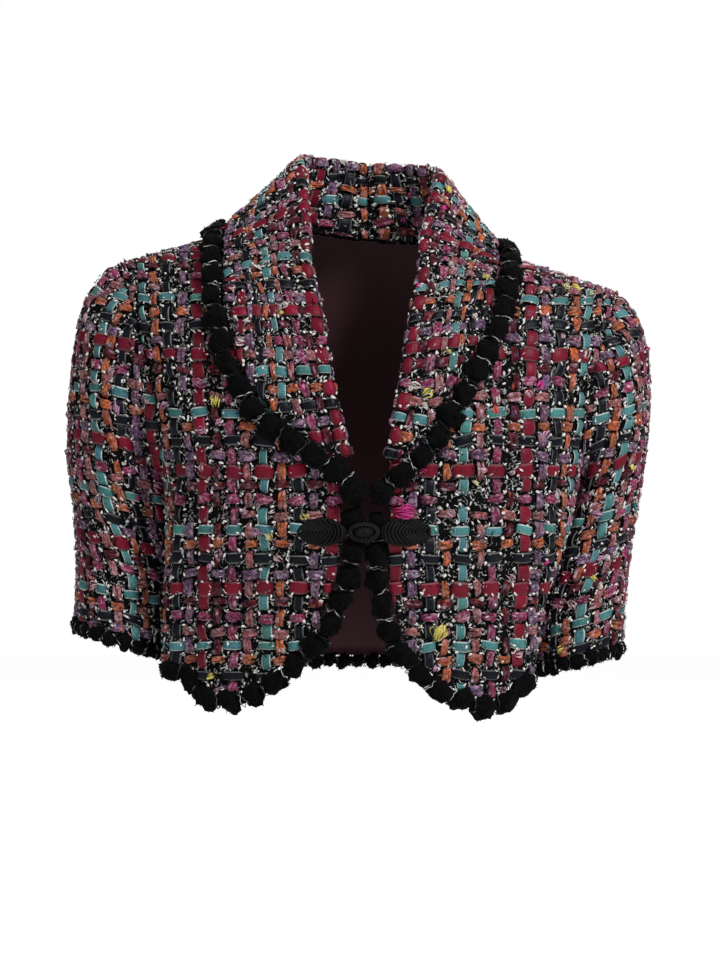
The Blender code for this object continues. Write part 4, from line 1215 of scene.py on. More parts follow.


# Yarns

# Each yarn's floats as they lie across the jacket and down it: their seen length and width, and how
# much pale edge or pale fibre they show, a ribbon's pale edge being partly painted highlight
Yarn = namedtuple("Yarn", "name kind across_long across_wide down_long down_wide colour pale")
YARNS = (
    Yarn("teal", "ribbon", 12.4, 7.4, 9.4, 7.8, (78, 136, 138), 0.7),
    Yarn("orange", "slub", 9.6, 7.2, 11.2, 6.8, (186, 98, 54), 0.3),
    Yarn("navy", "ribbon", 13.4, 7.6, 9.8, 7.6, (9, 12, 26), 0.2),
    Yarn("lavender", "slub", 11.2, 7.4, 11.4, 7.6, (104, 76, 108), 0.6),
    Yarn("crimson", "ribbon", 12.8, 10.6, 11.4, 10.2, (128, 18, 44), 0.1),
    Yarn("dark_red", "slub", 10.4, 6.8, 10.2, 6.6, (84, 16, 32), 0.12),
    Yarn("pink", "slub", 10.8, 7.6, 10.8, 7.4, (146, 52, 92), 0.5),
    Yarn("salmon", "slub", 10.4, 7.0, 10.4, 6.8, (156, 92, 90), 0.5),
)
WARP_PITCH, WEFT_PITCH = 13.4, 11.4
YARN_DEPTH = 0.9  # the yarns' own shade over the colours above, which are seen ones
DIVE = 1.5  # a float's ends go on this far out of sight, and this deep
KEEP_INSIDE = 0.6  # a float stops this far short of its panel's edge
MIDDLE_OUT = 4.5  # and its uncut middle lies at most this far outside
FIT_STEPS = 10  # steps along a float in which it is cut
SHORTEST, NARROWEST = 0.12, 0.3  # shares of its length and width that a cut float keeps
LEAST_ROOM, OVERHANG = 1.2, 0.4  # width that it needs, and how far its side may pass the edge
WARPS, WEFTS = 44, 56  # counted to each side of a panel's first ones
SWAY = 0.8  # how far warps and wefts wander from their straight lines
UNDERSIDE = -1.75  # no yarn reaches deeper than this, above the shell's inner face

# Where a panel's first teal warp and weft lie, and the spacing of both, where less than 0 runs
# against u; narrow is how far its yarns are pressed together
Weave = namedtuple("Weave", "warp_u warp_step weft_v weft_step narrow")


def float_places(cloth, weave):
    """Crossings of warps and wefts in a panel: their u and v, yarn number, and whether a weft is up."""
    warps, wefts = np.mgrid[-WARPS:WARPS + 1, -WEFTS:WEFTS + 1]
    u = weave.warp_u + warps * weave.warp_step
    v = weave.weft_v - wefts * weave.weft_step
    u, v = u + SWAY * np.sin(v / 31.0 + 2.1 * warps), v + SWAY * np.sin(u / 37.0 + 1.7 * wefts)
    kept = (cloth.inside(u, v) > -MIDDLE_OUT) & (np.abs(u) < BODY_SPAN)
    u, v, warps, wefts = u[kept], v[kept], warps[kept], wefts[kept]
    weft_up = (warps + wefts) % 2 == 0
    return u, v, np.where(weft_up, wefts, warps) % len(YARNS), weft_up


def fitted(cloth, u, v, weft_up, length, width):
    """Floats cut to what lies inside a panel: middle, half length and width of each, and which are kept."""
    share = np.linspace(-0.5, 0.5, FIT_STEPS + 1)
    along = share[None] * length[:, None]
    inside = cloth.inside(u[:, None] + along * weft_up[:, None], v[:, None] + along * ~weft_up[:, None])
    inside = inside > KEEP_INSIDE
    some = inside.any(1)
    first = np.where(some, inside.argmax(1), FIT_STEPS // 2)
    last = np.where(some, FIT_STEPS - inside[:, ::-1].argmax(1), FIT_STEPS // 2)
    start, end = share[first] * length, share[last] * length
    middle, half = (start + end) / 2, (end - start) / 2
    u, v = u + middle * weft_up, v + middle * ~weft_up
    room = 2 * (cloth.inside(u, v) + OVERHANG)
    width = np.minimum(width, np.maximum(room, NARROWEST * width))
    return u, v, half, width, (half > SHORTEST * length) & (room > LEAST_ROOM)


def laid(cloth, u, v, weft_up, turn, along, beside, height):
    """Points of floats from places along and beside each, and heights over the cloth."""
    shape = (len(u),) + (1,) * (along.ndim - 1)
    cos, sin = np.cos(turn).reshape(shape), np.sin(turn).reshape(shape)
    along, beside = along * cos - beside * sin, along * sin + beside * cos
    weft_up = weft_up.reshape(shape)
    across = np.where(weft_up, along, beside)
    up = np.where(weft_up, beside, -along)
    return cloth.place(u.reshape(shape) + across, v.reshape(shape) + up, np.maximum(height, UNDERSIDE))


RIBBON_STATIONS = np.sin(np.linspace(-math.pi / 2, math.pi / 2, 7))
RIBBON_RING = (  # across as a share of half the width, and height over the ribbon's edge
    (-1.0, 0.0), (-0.55, 0.5), (0.0, 0.62), (0.55, 0.5), (1.0, 0.0), (0.6, -0.4), (-0.6, -0.4))
RIBBON_TOP = 1.4  # height of its edges at the middle of a float


def ribbon_shapes(rng, half, width):
    """Along, beside and height of the points of flat floats that arch over the cloth."""
    count = len(half)
    half, width = half[:, None, None], width[:, None, None]
    t = RIBBON_STATIONS[None, :, None]
    across, rise = np.array(RIBBON_RING).T[:, None, None, :]
    lift = rng.uniform(0.75, 1.3, (count, 1, 1)) * RIBBON_TOP
    arch = 1 - np.abs(t) ** 2.8
    along = t * (half + DIVE) + 0 * across
    beside = across * (1 - 0.2 * t ** 4) * width / 2
    twist = rng.normal(0, 0.12, (count, 1, 1))
    height = -DIVE + (lift + DIVE) * arch + rise + twist * across * arch
    sway = rng.normal(0, 0.3, (count, 1, 1)) * t
    return along, beside + sway, height


STRANDS = 3  # soft strands side by side in a slub's float
STRAND_APART = 0.55  # of the outer ones from its middle, over half its width
STRAND_STATIONS = np.linspace(-1, 1, 6)
STRAND_SIDES = 4


def strand_shapes(rng, half, width, beside_by):
    """The same for one strand of some slubs, which lies to one side of the middle and crosses a little."""
    count, stations = len(half), len(STRAND_STATIONS)
    half, size = half[:, None, None], width[:, None, None] / 2
    t = STRAND_STATIONS[None, :, None]
    corner = turns_of(STRAND_SIDES, 0.5)[None, None]
    reach = (half + DIVE) * rng.uniform(0.88, 1.08, (count, 1, 1))
    lumps = 1 + rng.normal(0, 0.14, (count, stations, 1))
    rough = 1 + rng.normal(0, 0.12, (count, stations, STRAND_SIDES))
    radius = size * 0.46 * lumps * rough * (1 - 0.3 * t ** 6)
    arch = 1 - np.abs(t) ** 3
    along = t * reach + rng.normal(0, 0.3, (count, stations, STRAND_SIDES))
    drift = rng.normal(0, 0.16, (count, 1, 1)) * t + rng.normal(0, 0.07, (count, stations, 1))
    beside = size * (beside_by * (1 - 0.25 * t ** 4) + drift) + radius * np.cos(corner)
    top = rng.uniform(0.9, 1.7, (count, 1, 1))
    height = -DIVE + (top + DIVE) * arch + 0.75 * radius * np.sin(corner)
    return along, beside, height


def yarn_tints(rng, numbers, spread):
    """Colour of each float, a little different from its fellows."""
    base = YARN_DEPTH * np.array([linear(*yarn.colour)[:3] for yarn in YARNS])[numbers]
    pale = np.array([yarn.pale for yarn in YARNS])[numbers]
    shade = np.exp(rng.normal(0, spread, (len(numbers), 1)))
    drift = np.exp(rng.normal(0, spread / 3, (len(numbers), 3)))
    pale = pale * rng.uniform(0.7, 1.2, len(numbers))
    return np.concatenate([np.clip(base * shade * drift, 0, 1), pale[:, None]], axis=1)


BURIED = 0.08  # share of the slub floats that the bouclé covers
STRAY_COLOURS = ((202, 168, 186), (120, 22, 44), (24, 20, 30), (188, 92, 60), (86, 70, 110))
STRAY_SHARES = (0.32, 0.22, 0.2, 0.12, 0.14)


def picked(rng, colours, shares, count):
    """Linear colours for some pieces, by chance."""
    colours = np.array([linear(*colour) for colour in colours])
    return colours[rng.choice(len(colours), count, p=shares)]


def mottled(rng, tints, stations):
    """Colours along strands, which change to fibres of other colours here and there."""
    count = len(tints)
    out = np.repeat(tints[:, None], stations, axis=1)
    other = picked(rng, STRAY_COLOURS, STRAY_SHARES, (count, stations))[..., :3]
    share = np.clip(rng.normal(0.05, 0.33, (count, stations, 1)), 0, 0.8)
    shade = np.exp(rng.normal(-0.05, 0.26, (count, stations, 1)))
    out[..., :3] = np.clip(mix(out[..., :3], other, share) * shade, 0, 1)
    return out


def add_floats(cloth, weave, ribbons, slubs, rng):
    """All the ribbon and slub floats of a panel."""
    u, v, numbers, weft_up = float_places(cloth, weave)
    table = np.array([yarn[2:6] for yarn in YARNS])[numbers]
    length = np.where(weft_up, table[:, 0], table[:, 2])
    width = np.where(weft_up, table[:, 1], table[:, 3])
    length *= np.where(weft_up, weave.narrow, 1.0) * np.exp(rng.normal(0, 0.06, len(u)))
    width *= np.where(weft_up, 1.0, (1 + weave.narrow) / 2) * np.exp(rng.normal(0, 0.1, len(u)))
    u, v = u + rng.normal(0, 0.6, len(u)), v + rng.normal(0, 0.5, len(v))
    u, v, half, width, kept = fitted(cloth, u, v, weft_up, length, width)
    turn = rng.normal(0, 0.1, len(u))
    ribbon = np.array([yarn.kind == "ribbon" for yarn in YARNS])[numbers]
    tints = yarn_tints(rng, numbers, 0.13)

    def lay(some, shapes):
        return laid(cloth, u[some], v[some], weft_up[some], turn[some], *shapes)

    some = kept & ribbon
    shapes = ribbon_shapes(rng, half[some], width[some])
    edge = np.array([(across + 1) / 2 for across, _ in RIBBON_RING])
    uv = np.stack(np.broadcast_arrays(edge, shapes[0]), axis=-1)
    ribbons.add(lay(some, shapes), tube_faces(len(RIBBON_STATIONS), len(RIBBON_RING)), tints[some], uv)

    some = kept & ~ribbon & (rng.random(len(u)) > BURIED)
    stations = len(STRAND_STATIONS)
    for beside_by in np.linspace(-STRAND_APART, STRAND_APART, STRANDS):
        points = lay(some, strand_shapes(rng, half[some], width[some], beside_by))
        strand = np.repeat(mottled(rng, tints[some], stations), STRAND_SIDES, axis=1)
        slubs.add(points, tube_faces(stations, STRAND_SIDES), strand)


CURL_STEPS, CURL_SIDES = 7, 3
BLOB_POINTS, BLOB_FACES = ball(1)
WHITE_THREAD, SILVER_THREAD = (236, 234, 229), (176, 178, 184)
DARK_THREAD, ROSE_THREAD = (16, 16, 19), (196, 150, 160)
THREAD_COLOURS = (WHITE_THREAD, SILVER_THREAD, DARK_THREAD, ROSE_THREAD)
THREAD_SHARES = (0.62, 0.12, 0.2, 0.06)
KNOP_COLOURS = (WHITE_THREAD, SILVER_THREAD, (228, 208, 208))
KNOP_SHARES = (0.7, 0.18, 0.12)
MARL = 1.0  # turn of the dark ply from one step of a curl to the next, in radians
BOUCLE_INSIDE = 1.5  # curls and knops start this far in from a panel's edge


def marled(tints, dark, sides):
    """Colours of threads' points, with a dark ply where dark says so."""
    out = np.repeat(tints[:, None], dark.shape[1], axis=1)
    out[dark] = linear(*DARK_THREAD)
    return np.repeat(out, sides, axis=1)


def add_curls(cloth, u, v, threads, rng):
    """Short squirming ends of a thread that is twisted from white and black."""
    count = len(u)
    heading = rng.uniform(0, math.tau, (count, 1))
    heading = heading + np.cumsum(rng.normal(0, 0.75, (count, CURL_STEPS)), axis=1)
    step = rng.uniform(0.8, 1.3, (count, 1))
    along = np.cumsum(step * np.cos(heading), axis=1)
    beside = np.cumsum(step * np.sin(heading), axis=1)
    along, beside = along - along.mean(axis=1)[:, None], beside - beside.mean(axis=1)[:, None]
    bow = np.sin(np.linspace(0.15, math.pi - 0.15, CURL_STEPS))[None]
    lift = rng.uniform(1.0, 2.9, (count, 1)) * bow - 0.2
    corner = turns_of(CURL_SIDES)[None, None]
    radius = rng.uniform(0.3, 0.55, (count, 1, 1)) * (0.6 + 0.4 * bow[..., None])
    ring_along = along[..., None] - np.sin(heading)[..., None] * radius * np.cos(corner)
    ring_beside = beside[..., None] + np.cos(heading)[..., None] * radius * np.cos(corner)
    height = lift[..., None] + radius * np.sin(corner)
    points = laid(cloth, u, v, np.ones(count, bool), np.zeros(count), ring_along, ring_beside, height)
    tints = picked(rng, THREAD_COLOURS, THREAD_SHARES, count)
    dark = np.sin(MARL * np.arange(CURL_STEPS) + rng.uniform(0, math.tau, (count, 1))) > 0.35
    threads.add(points, tube_faces(CURL_STEPS, CURL_SIDES), marled(tints, dark, CURL_SIDES))


def add_knops(cloth, u, v, threads, rng):
    """Pale knops, the lumps of a bouclé thread."""
    count = len(u)
    size = np.stack([rng.uniform(1.0, 2.3, count), rng.uniform(0.6, 1.25, count),
                     rng.uniform(0.6, 0.9, count)], axis=-1)
    rough = 1 + rng.normal(0, 0.16, (count, len(BLOB_POINTS), 1))
    local = BLOB_POINTS[None] * rough * size[:, None]
    turn = rng.uniform(0, math.tau, count)
    height = local[..., 2] + rng.uniform(0.3, 2.1, count)[:, None]
    points = laid(cloth, u, v, np.ones(count, bool), turn, local[..., 0], local[..., 1], height)
    threads.add(points, [BLOB_FACES], picked(rng, KNOP_COLOURS, KNOP_SHARES, count))


# Bouclé that squirms out where four yarns meet and along the yarns' sides: what is strewn, at what share
# of the crossings, how many half pitches from them, and how far it strays
Strewn = namedtuple("Strewn", "add share out_u out_v spread")
BOUCLE = (
    Strewn(add_curls, 1.0, 1, 1, 2.0),
    Strewn(add_curls, 0.55, 1, 0, 2.4),
    Strewn(add_curls, 0.45, 0, 1, 2.4),
    Strewn(add_knops, 0.95, 1, 1, 1.8),
    Strewn(add_knops, 0.8, 1, 1, 3.8),
)


def add_boucle(cloth, weave, threads, rng):
    crossing_u, crossing_v, _, _ = float_places(cloth, weave)
    across, up = abs(weave.warp_step) / 2, weave.weft_step / 2
    for kind in BOUCLE:
        some = rng.random(len(crossing_u)) < kind.share
        total = some.sum()
        u = crossing_u[some] + kind.out_u * across + rng.normal(0, kind.spread, total)
        v = crossing_v[some] + kind.out_v * up + rng.normal(0, kind.spread, total)
        kept = cloth.inside(u, v) > BOUCLE_INSIDE
        kind.add(cloth, u[kept], v[kept], threads, rng)


def place_of(cloths, x, z):
    """The foremost place of some cloths at x and z in the front view, with its outward direction."""
    found = []
    for cloth in cloths:
        gap = np.hypot(cloth.points[..., 0] - x, cloth.points[..., 2] - z)
        gap = np.where((cloth.margin > 0) & (cloth.normals[..., 1] < 0), gap, np.inf)
        front = np.where(gap < gap.min() + LATTICE, cloth.points[..., 1], np.inf)
        i, j = np.unravel_index(front.argmin(), front.shape)
        far = max(gap.min() - TUFT_MISS, 0.0)
        found.append((far, front[i, j], cloth.points[i, j], cloth.normals[i, j]))
    return min(found, key=lambda place: place[:2])[2:]


# Tufts of loose fibre: place in the front view, colour, length, number of strands, and the angle of
# their run from level
Tuft = namedtuple("Tuft", "x z colour size strands slant")
YELLOW, HOT_PINK, CORAL, CREAM = (224, 211, 108), (214, 62, 142), (222, 86, 82), (216, 208, 158)
ROSE, PALE_PINK, MUTED_RED = (204, 150, 184), (206, 168, 176), (160, 28, 58)
TUFTS = (
    Tuft(-120, -144, YELLOW, 8, 14, 80), Tuft(58, -324, YELLOW, 12, 26, 60), Tuft(-68, -75, YELLOW, 4, 6, 10),
    Tuft(93, -46, YELLOW, 5, 9, 120), Tuft(62, -104, YELLOW, 4, 6, 20), Tuft(66, 26, YELLOW, 7, 12, 70),
    Tuft(212, -196, YELLOW, 5, 8, 100), Tuft(31, -233, HOT_PINK, 14, 30, -5), Tuft(62, 10, HOT_PINK, 5, 9, 0),
    Tuft(101, -151, CORAL, 8, 14, 110), Tuft(158, -52, CREAM, 8, 14, 30), Tuft(168, -54, YELLOW, 6, 10, 150),
    Tuft(178, -57, CREAM, 6, 9, 20), Tuft(-41, -64, MUTED_RED, 8, 7, 80), Tuft(-115, -2, MUTED_RED, 8, 7, 10),
    Tuft(-58, 52, HOT_PINK, 6, 9, 0), Tuft(-56, 50, CREAM, 5, 6, 40), Tuft(-196, -150, ROSE, 8, 12, 90),
    Tuft(-204, -120, PALE_PINK, 7, 10, 60), Tuft(86, -208, CREAM, 5, 6, 140),
    Tuft(-182, -222, HOT_PINK, 5, 7, 45),
)
TUFT_STEPS, TUFT_SIDES = 5, 3
TUFT_MISS = 4.0  # a tuft may root this far from its place
SMALL_TUFTS = 36  # on each panel, of the pale colours below
SMALL_INSIDE = 4.0  # and this far in from its edge
SMALL_COLOURS = (PALE_PINK, ROSE, (220, 212, 208), (150, 140, 150), HOT_PINK, YELLOW)
SMALL_SHARES = (0.3, 0.24, 0.2, 0.14, 0.08, 0.04)


def add_tuft(centre, normal, colour, size, count, slant, threads, rng):
    """One soft clump of strands that lie nearly side by side, rooted in the cloth at both ends."""
    level = unit(np.cross((0.0, 0.0, 1.0), normal))
    up = np.cross(normal, level)
    run = math.cos(slant) * level + math.sin(slant) * up
    beside = np.cross(normal, run)
    t = np.linspace(-0.5, 0.5, TUFT_STEPS)[None]
    length = size * rng.uniform(0.6, 1.15, (count, 1))
    bend = rng.normal(0, 0.2 * size, (count, 1)) * (1 - 4 * t ** 2)
    along = t * length + rng.normal(0, 0.12 * size, (count, 1))
    across = bend + rng.normal(0, 0.14 * size, (count, 1)) + rng.normal(0, 0.2, (count, TUFT_STEPS))
    lift = 1.4 + rng.uniform(0.2, 2.2, (count, 1)) * (1 - 4 * t ** 2)
    corner = turns_of(TUFT_SIDES)[None, None]
    taper = (1 - 0.75 * np.abs(2 * t) ** 2)[..., None]
    radius = rng.uniform(0.45, 0.85, (count, 1, 1)) * taper
    ring_across = across[..., None] + radius * np.cos(corner)
    height = lift[..., None] + radius * np.sin(corner)
    points = (centre + (along[..., None] + 0 * corner)[..., None] * run + ring_across[..., None] * beside
              + height[..., None] * normal)
    tint = np.tile(linear(*colour), (count, 1))
    tint[:, :3] *= np.exp(rng.normal(-0.05, 0.18, (count, 1)))
    threads.add(points, tube_faces(TUFT_STEPS, TUFT_SIDES), np.clip(tint, 0, 1))


def add_tufts(cloths, threads, rng):
    """Loose tufts that stand a little out of the cloth, bright ones as listed and small pale ones by chance.
    """
    for tuft in TUFTS:
        centre, normal = place_of(cloths, tuft.x, tuft.z)
        add_tuft(centre, normal, tuft.colour, tuft.size, tuft.strands, math.radians(tuft.slant), threads, rng)
    for cloth in cloths:
        rows, columns = np.nonzero(cloth.margin > SMALL_INSIDE)
        for k in rng.choice(len(rows), SMALL_TUFTS, replace=False):
            place = rows[k], columns[k]
            colour = SMALL_COLOURS[rng.choice(len(SMALL_COLOURS), p=SMALL_SHARES)]
            add_tuft(cloth.points[place], cloth.normals[place], colour, rng.uniform(4.0, 9.0),
                     int(rng.integers(4, 8)), rng.uniform(0, math.pi), threads, rng)


# Edging

# The middle line of an edging, the cloth's direction along it and half the edging's width
Line = namedtuple("Line", "points normals halves closed", defaults=[False])
EDGING_CORNERS = ((-0.9, 0.3), (-0.5, 0.6), (0.0, 0.6), (0.5, 0.6), (0.95, 0.35))  # across, depth
HUNG_AT = 0.66  # middle of a hung edging beyond the cloth's edge, over its half width
CLOSE_AT = 1.12  # the same below the frog, where both edgings nearly meet
HUNG_OUT = 0.8  # and this far out, because it is sewn on over the yarns
BOBBLE_DEEP = 0.62  # depth of a bobble over its width
CORD_WIDE, CORD_DEEP = 0.5, 0.24  # half width and depth of the cord inside, over the bobbles' half
CORD_SIDES = 6
LINE_END = 2.0  # an open edging stops this far short of its line's ends
PILE_LOCKS = 46  # short locks of pile that stand out of a bobble
LUMP_WAVES = (1.6, 2.8, 4.4, 6.5, 8.0)  # waves over a bobble that make it uneven
LUMP_HEIGHT = 0.19
BALL_POINTS, BALL_FACES = ball(3)


def collar_line(wall):
    """Along the end of the collar's fall, clear of the cloth below, and on to the closure."""
    edge, normals = wall.points[:, -1], wall.normals[:, -1]
    out = unit(edge - wall.points[:, -2])
    middle = edge + out * (BOBBLE_HALF + 2 * REST) - normals * (SOLID_COLLAR / 2)
    pushes = [push_off_body(middle + out * (BOBBLE_HALF * along), normals, BOBBLE_HALF * deep + REST)
              for along, deep in EDGING_CORNERS]
    middle = middle + normals * np.maximum.reduce(pushes)
    right, left = (np.array([over_body(*spot, FRONT, TIP_LIFT) for spot in TIP_PATH[side]]) for side in SIDES)
    points = np.concatenate([right[::-1], middle, left])
    normals = np.concatenate([body_normal(right, FRONT)[::-1], normals, body_normal(left, FRONT)])
    return Line(points, normals, np.full(len(points), BOBBLE_HALF))


def hung_line(edge, normals, halves, down, hung_at):
    """An edging that is sewn to the edge of a panel and hangs from it."""
    away = unit(np.cross(np.gradient(edge, axis=0), normals))
    away = away * np.where(dot(away, np.array(down)) > 0, 1, -1)
    points = edge + away * (halves * hung_at)[:, None] - normals * (SOLID_WALL / 2 - HUNG_OUT)
    return Line(points, normals, halves)


def front_line(side, wall):
    low = wall.points[:, 0, 2] < CLOSURE_Z
    edge = np.concatenate([wall.points[low, 0], wall.points[-1, 1:]])
    normals = np.concatenate([wall.normals[low, 0], wall.normals[-1, 1:]])
    lowest = edge[:, 2].argmin()
    share = (np.arange(len(edge)) - lowest) / (len(edge) - 1 - lowest)
    halves = mix(BOBBLE_HALF, FINE_HALF, ease(share))
    hung_at = mix(CLOSE_AT, HUNG_AT, ease(np.arange(len(edge)) / lowest))
    return hung_line(edge, normals, halves, (-side, 0, -FRONT_HANG), hung_at)


def back_line(wall):
    edge = wall.points[-1]
    return hung_line(edge, wall.normals[-1], np.full(len(edge), FINE_HALF), (0, 0, -1), HUNG_AT)


def sleeve_line(wall):
    hem, normals = wall.points[-1], wall.normals[-1]
    down = unit(hem - wall.points[-2])
    points = hem + down * (FINE_HALF * HUNG_AT) - normals * (SOLID_WALL / 2 - HUNG_OUT)
    return Line(points, normals, np.full(len(hem), FINE_HALF), True)


def along_line(line):
    """A function of the length along a line: middle, normal and half width; and the whole length."""
    rows = np.concatenate([line.points, line.normals, line.halves[:, None]], axis=1)
    if line.closed:
        rows = np.concatenate([rows, rows[:1]])
    reach = reach_of(rows[:, :3])

    def read(distance):
        if line.closed:
            distance = distance % reach[-1]
        values = np.stack([np.interp(distance, reach, rows[:, k]) for k in range(7)], axis=-1)
        return values[..., :3], unit(values[..., 3:6]), values[..., 6]

    return read, reach[-1]


def line_frames(read, places):
    """Middle, direction along, direction across, normal and half width at places on a line."""
    middle, normal, half = read(places)
    along = unit(read(places + SLOPE_STEP)[0] - read(places - SLOPE_STEP)[0])
    across = unit(np.cross(along, normal))
    return middle, np.cross(normal, across), across, normal, half


def bobble_places(line, read, length):
    """Middles of the bobbles and half the pitch at each, which follows the width of the edging."""
    first = 0.0 if line.closed else LINE_END
    last, at = length - first, first
    ends = []
    while at < last:
        ends.append(at)
        half = float(read(np.array([at]))[2][0])
        at += mix(FINE_PITCH, BOBBLE_PITCH, (half - FINE_HALF) / (BOBBLE_HALF - FINE_HALF))
    ends = first + (np.array(ends + [at]) - first) * (last - first) / (at - first)
    return (ends[:-1] + ends[1:]) / 2, np.diff(ends) / 2


def add_bobbles(batch, frames, reach, rng):
    """Lumps of velvety pile, a little uneven, that lie against each other along the edging."""
    middle, along, across, normal, half = frames
    count = len(middle)
    turn = rng.normal(0, 0.16, (count, 1))
    along, across = (along * np.cos(turn) + across * np.sin(turn),
                     across * np.cos(turn) - along * np.sin(turn))
    size = np.stack([reach * rng.uniform(0.88, 1.1, count), half * rng.uniform(0.88, 1.14, count),
                     half * BOBBLE_DEEP * rng.uniform(0.95, 1.15, count)], axis=-1)
    middle = middle + across * (half * 0.09)[:, None] * rng.normal(0, 1, (count, 1))
    ball_points = np.sign(BALL_POINTS) * np.abs(BALL_POINTS) ** 0.95
    lumps = np.ones((count, len(BALL_POINTS)))
    for wave in LUMP_WAVES:
        way = unit(rng.normal(0, 1, (count, 3)))
        phase = rng.uniform(0, math.tau, (count, 1))
        run = np.einsum("ck,pk->cp", way, BALL_POINTS)
        lumps += LUMP_HEIGHT / math.sqrt(wave) * np.sin(wave * run * 2 + phase)
    local = ball_points[None] * size[:, None] * lumps[..., None]
    points = (middle[:, None] + local[..., :1] * along[:, None] + local[..., 1:2] * across[:, None]
              + local[..., 2:] * normal[:, None])
    batch.add(points, [BALL_FACES])
    add_pile(batch, points, rng)


def add_pile(batch, lumps, rng):
    """Short locks on every lump."""
    count = len(lumps)
    chosen = rng.integers(0, lumps.shape[1], (count, PILE_LOCKS))
    roots = np.take_along_axis(lumps, chosen[..., None], axis=1)
    out = unit(roots - lumps.mean(axis=1, keepdims=True) + rng.normal(0, 1.1, roots.shape))
    roots, out = roots.reshape(-1, 3), out.reshape(-1, 3)
    side_way = unit(np.cross(out, (0.3, 0.9, 0.2)))
    other = np.cross(out, side_way)
    total = len(roots)
    length = rng.uniform(0.9, 2.3, (total, 1))
    width = rng.uniform(0.35, 0.7, (total, 1))
    corner = [roots - out * 0.5 + width * (math.cos(a) * side_way + math.sin(a) * other)
              for a in turns_of(3)]
    points = np.stack([*corner, roots + out * length], axis=1)
    faces = np.array([[0, 2, 1], [0, 1, 3], [1, 2, 3], [2, 0, 3]])
    batch.add(points, [faces])


def add_edging(name, line, node, rng):
    """One edging: its cord, its bobbles and the pale thread that winds between them."""
    read, length = along_line(line)
    places, reach = bobble_places(line, read, length)
    batch = Batch()
    add_bobbles(batch, line_frames(read, places), reach, rng)

    steps = 4 * len(places)
    first = 0.0 if line.closed else LINE_END
    at = np.linspace(first, length - first, steps, endpoint=not line.closed)
    middle, _, across, normal, half = line_frames(read, at)
    ring = ring_of(CORD_SIDES, across, normal, CORD_WIDE, CORD_DEEP)
    points = middle[:, None] + ring * half[:, None, None]
    batch.add(points[None], tube_faces(steps, CORD_SIDES, line.closed))
    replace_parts(batch.piece(name, CHENILLE, "chenille"), node)

    threads = Batch()
    between = places + reach if line.closed else (places + reach)[:-1]
    for _ in range(2):
        add_loops(threads, line_frames(read, between + rng.normal(0, 0.7, len(between))), rng)
    threads.piece(f"{name}_thread", THREAD, "chenille")


LOOP_POINTS, LOOP_CORNERS = 14, 3
PALE_THREADS = ((232, 232, 230), (150, 150, 154), (90, 90, 94))
PALE_SHARES = (0.5, 0.3, 0.2)
DARK_SHARE = 0.66  # of a loop's length, where its dark ply shows


def add_loops(threads, frames, rng):
    """Pale thread loops round the waists between bobbles."""
    middle, along, across, normal, half = frames
    count = len(middle)
    angle = turns_of(LOOP_POINTS)[None]
    wide = half[:, None] * rng.uniform(0.72, 0.95, (count, 1))
    deep = half[:, None] * BOBBLE_DEEP * rng.uniform(0.8, 1.05, (count, 1))
    drift = rng.normal(0, 0.8, (count, LOOP_POINTS)) + rng.normal(0, 1.6, (count, 1)) * np.cos(angle)
    centre = (middle[:, None] + (wide * np.cos(angle))[..., None] * across[:, None]
              + (deep * np.sin(angle))[..., None] * normal[:, None] + drift[..., None] * along[:, None])
    out = unit(ring_of(LOOP_POINTS, across, normal, 1.0, 1.0))
    radius = rng.uniform(0.28, 0.5, (count, 1, 1, 1))
    corner = turns_of(LOOP_CORNERS)[None, None, :, None]
    points = centre[:, :, None] + radius * (np.cos(corner) * out[:, :, None]
                                            + np.sin(corner) * along[:, None, None])
    tints = picked(rng, PALE_THREADS, PALE_SHARES, count)
    dark = rng.random((count, LOOP_POINTS)) < DARK_SHARE
    faces = tube_faces(LOOP_POINTS, LOOP_CORNERS, closed=True)
    threads.add(points, faces, marled(tints, dark, LOOP_CORNERS))


# Frog

FROG_Z = -246
LEAF_X = {RIGHT: (-16.5, -54.0), LEFT: (10.5, 48.0)}  # inner and outer end
LEAF_HALF = 11.0
LEAF_POINT = {RIGHT: 1.25, LEFT: 0.85}  # above 1 the ends are pointed, below 1 round
LEAF_THICK = 3.6
LEAF_CLIMB = (18.0, 30.0)  # from the middle plane, where a leaf crosses the edging and where it lies flat
OVER_EDGING = 5.2  # what crosses the front edging lies this far over the cloth
BRAID_HALF = 1.2  # half width of the braid that the leaves are laid from
LEAF_LAYERS = ((1.0, 0.1), (1.0, 1.0), (0.55, 2.1), (0.12, 2.3))  # base under it: size and height
BRAID_STEP = 2.65  # from one row of braid to the next
CHEVRON_BEND = (9.0, 0.9)  # roundness of the innermost row and of the outer ones
CHEVRON_FADE = 0.38  # share of the rows over which it changes
CHEVRON_SLOPE = {RIGHT: 1.15, LEFT: 1.0}
LOOP_CENTRE_X = -3.0
LOOP_HALF_X = 11.3
LOOP_HALF_Z = 6.4
LOOP_CORD = 1.9
KNOT_X = -3.0
KNOT_HALF = (6.8, 3.0, 4.2)
KNOT_GAP = 0.2
KNOT_WINDING = 1.14  # the winding stands out over the knot's own size


def add_cord(batch, centres, normals, radius, closed=False, sides=8, flat=0.85):
    """A braid cord along points, with UVs round it and along it in millimetres."""
    along = steps_of(centres, closed)
    across = unit(np.cross(along, normals))
    up = unit(np.cross(across, along))
    points = centres[:, None] + ring_of(sides, across, up, 1.0, flat) * radius
    share = np.arange(sides) / sides
    uv = np.stack(np.broadcast_arrays(share[None], reach_of(centres)[:, None]), axis=-1)
    batch.add(points[None], tube_faces(len(centres), sides, closed), uv=uv)


def leaf_over(x):
    """Height of a leaf's underside over the cloth."""
    low, high = LEAF_CLIMB
    return mix(OVER_EDGING, REST, ease((np.abs(x) - low) / (high - low)))


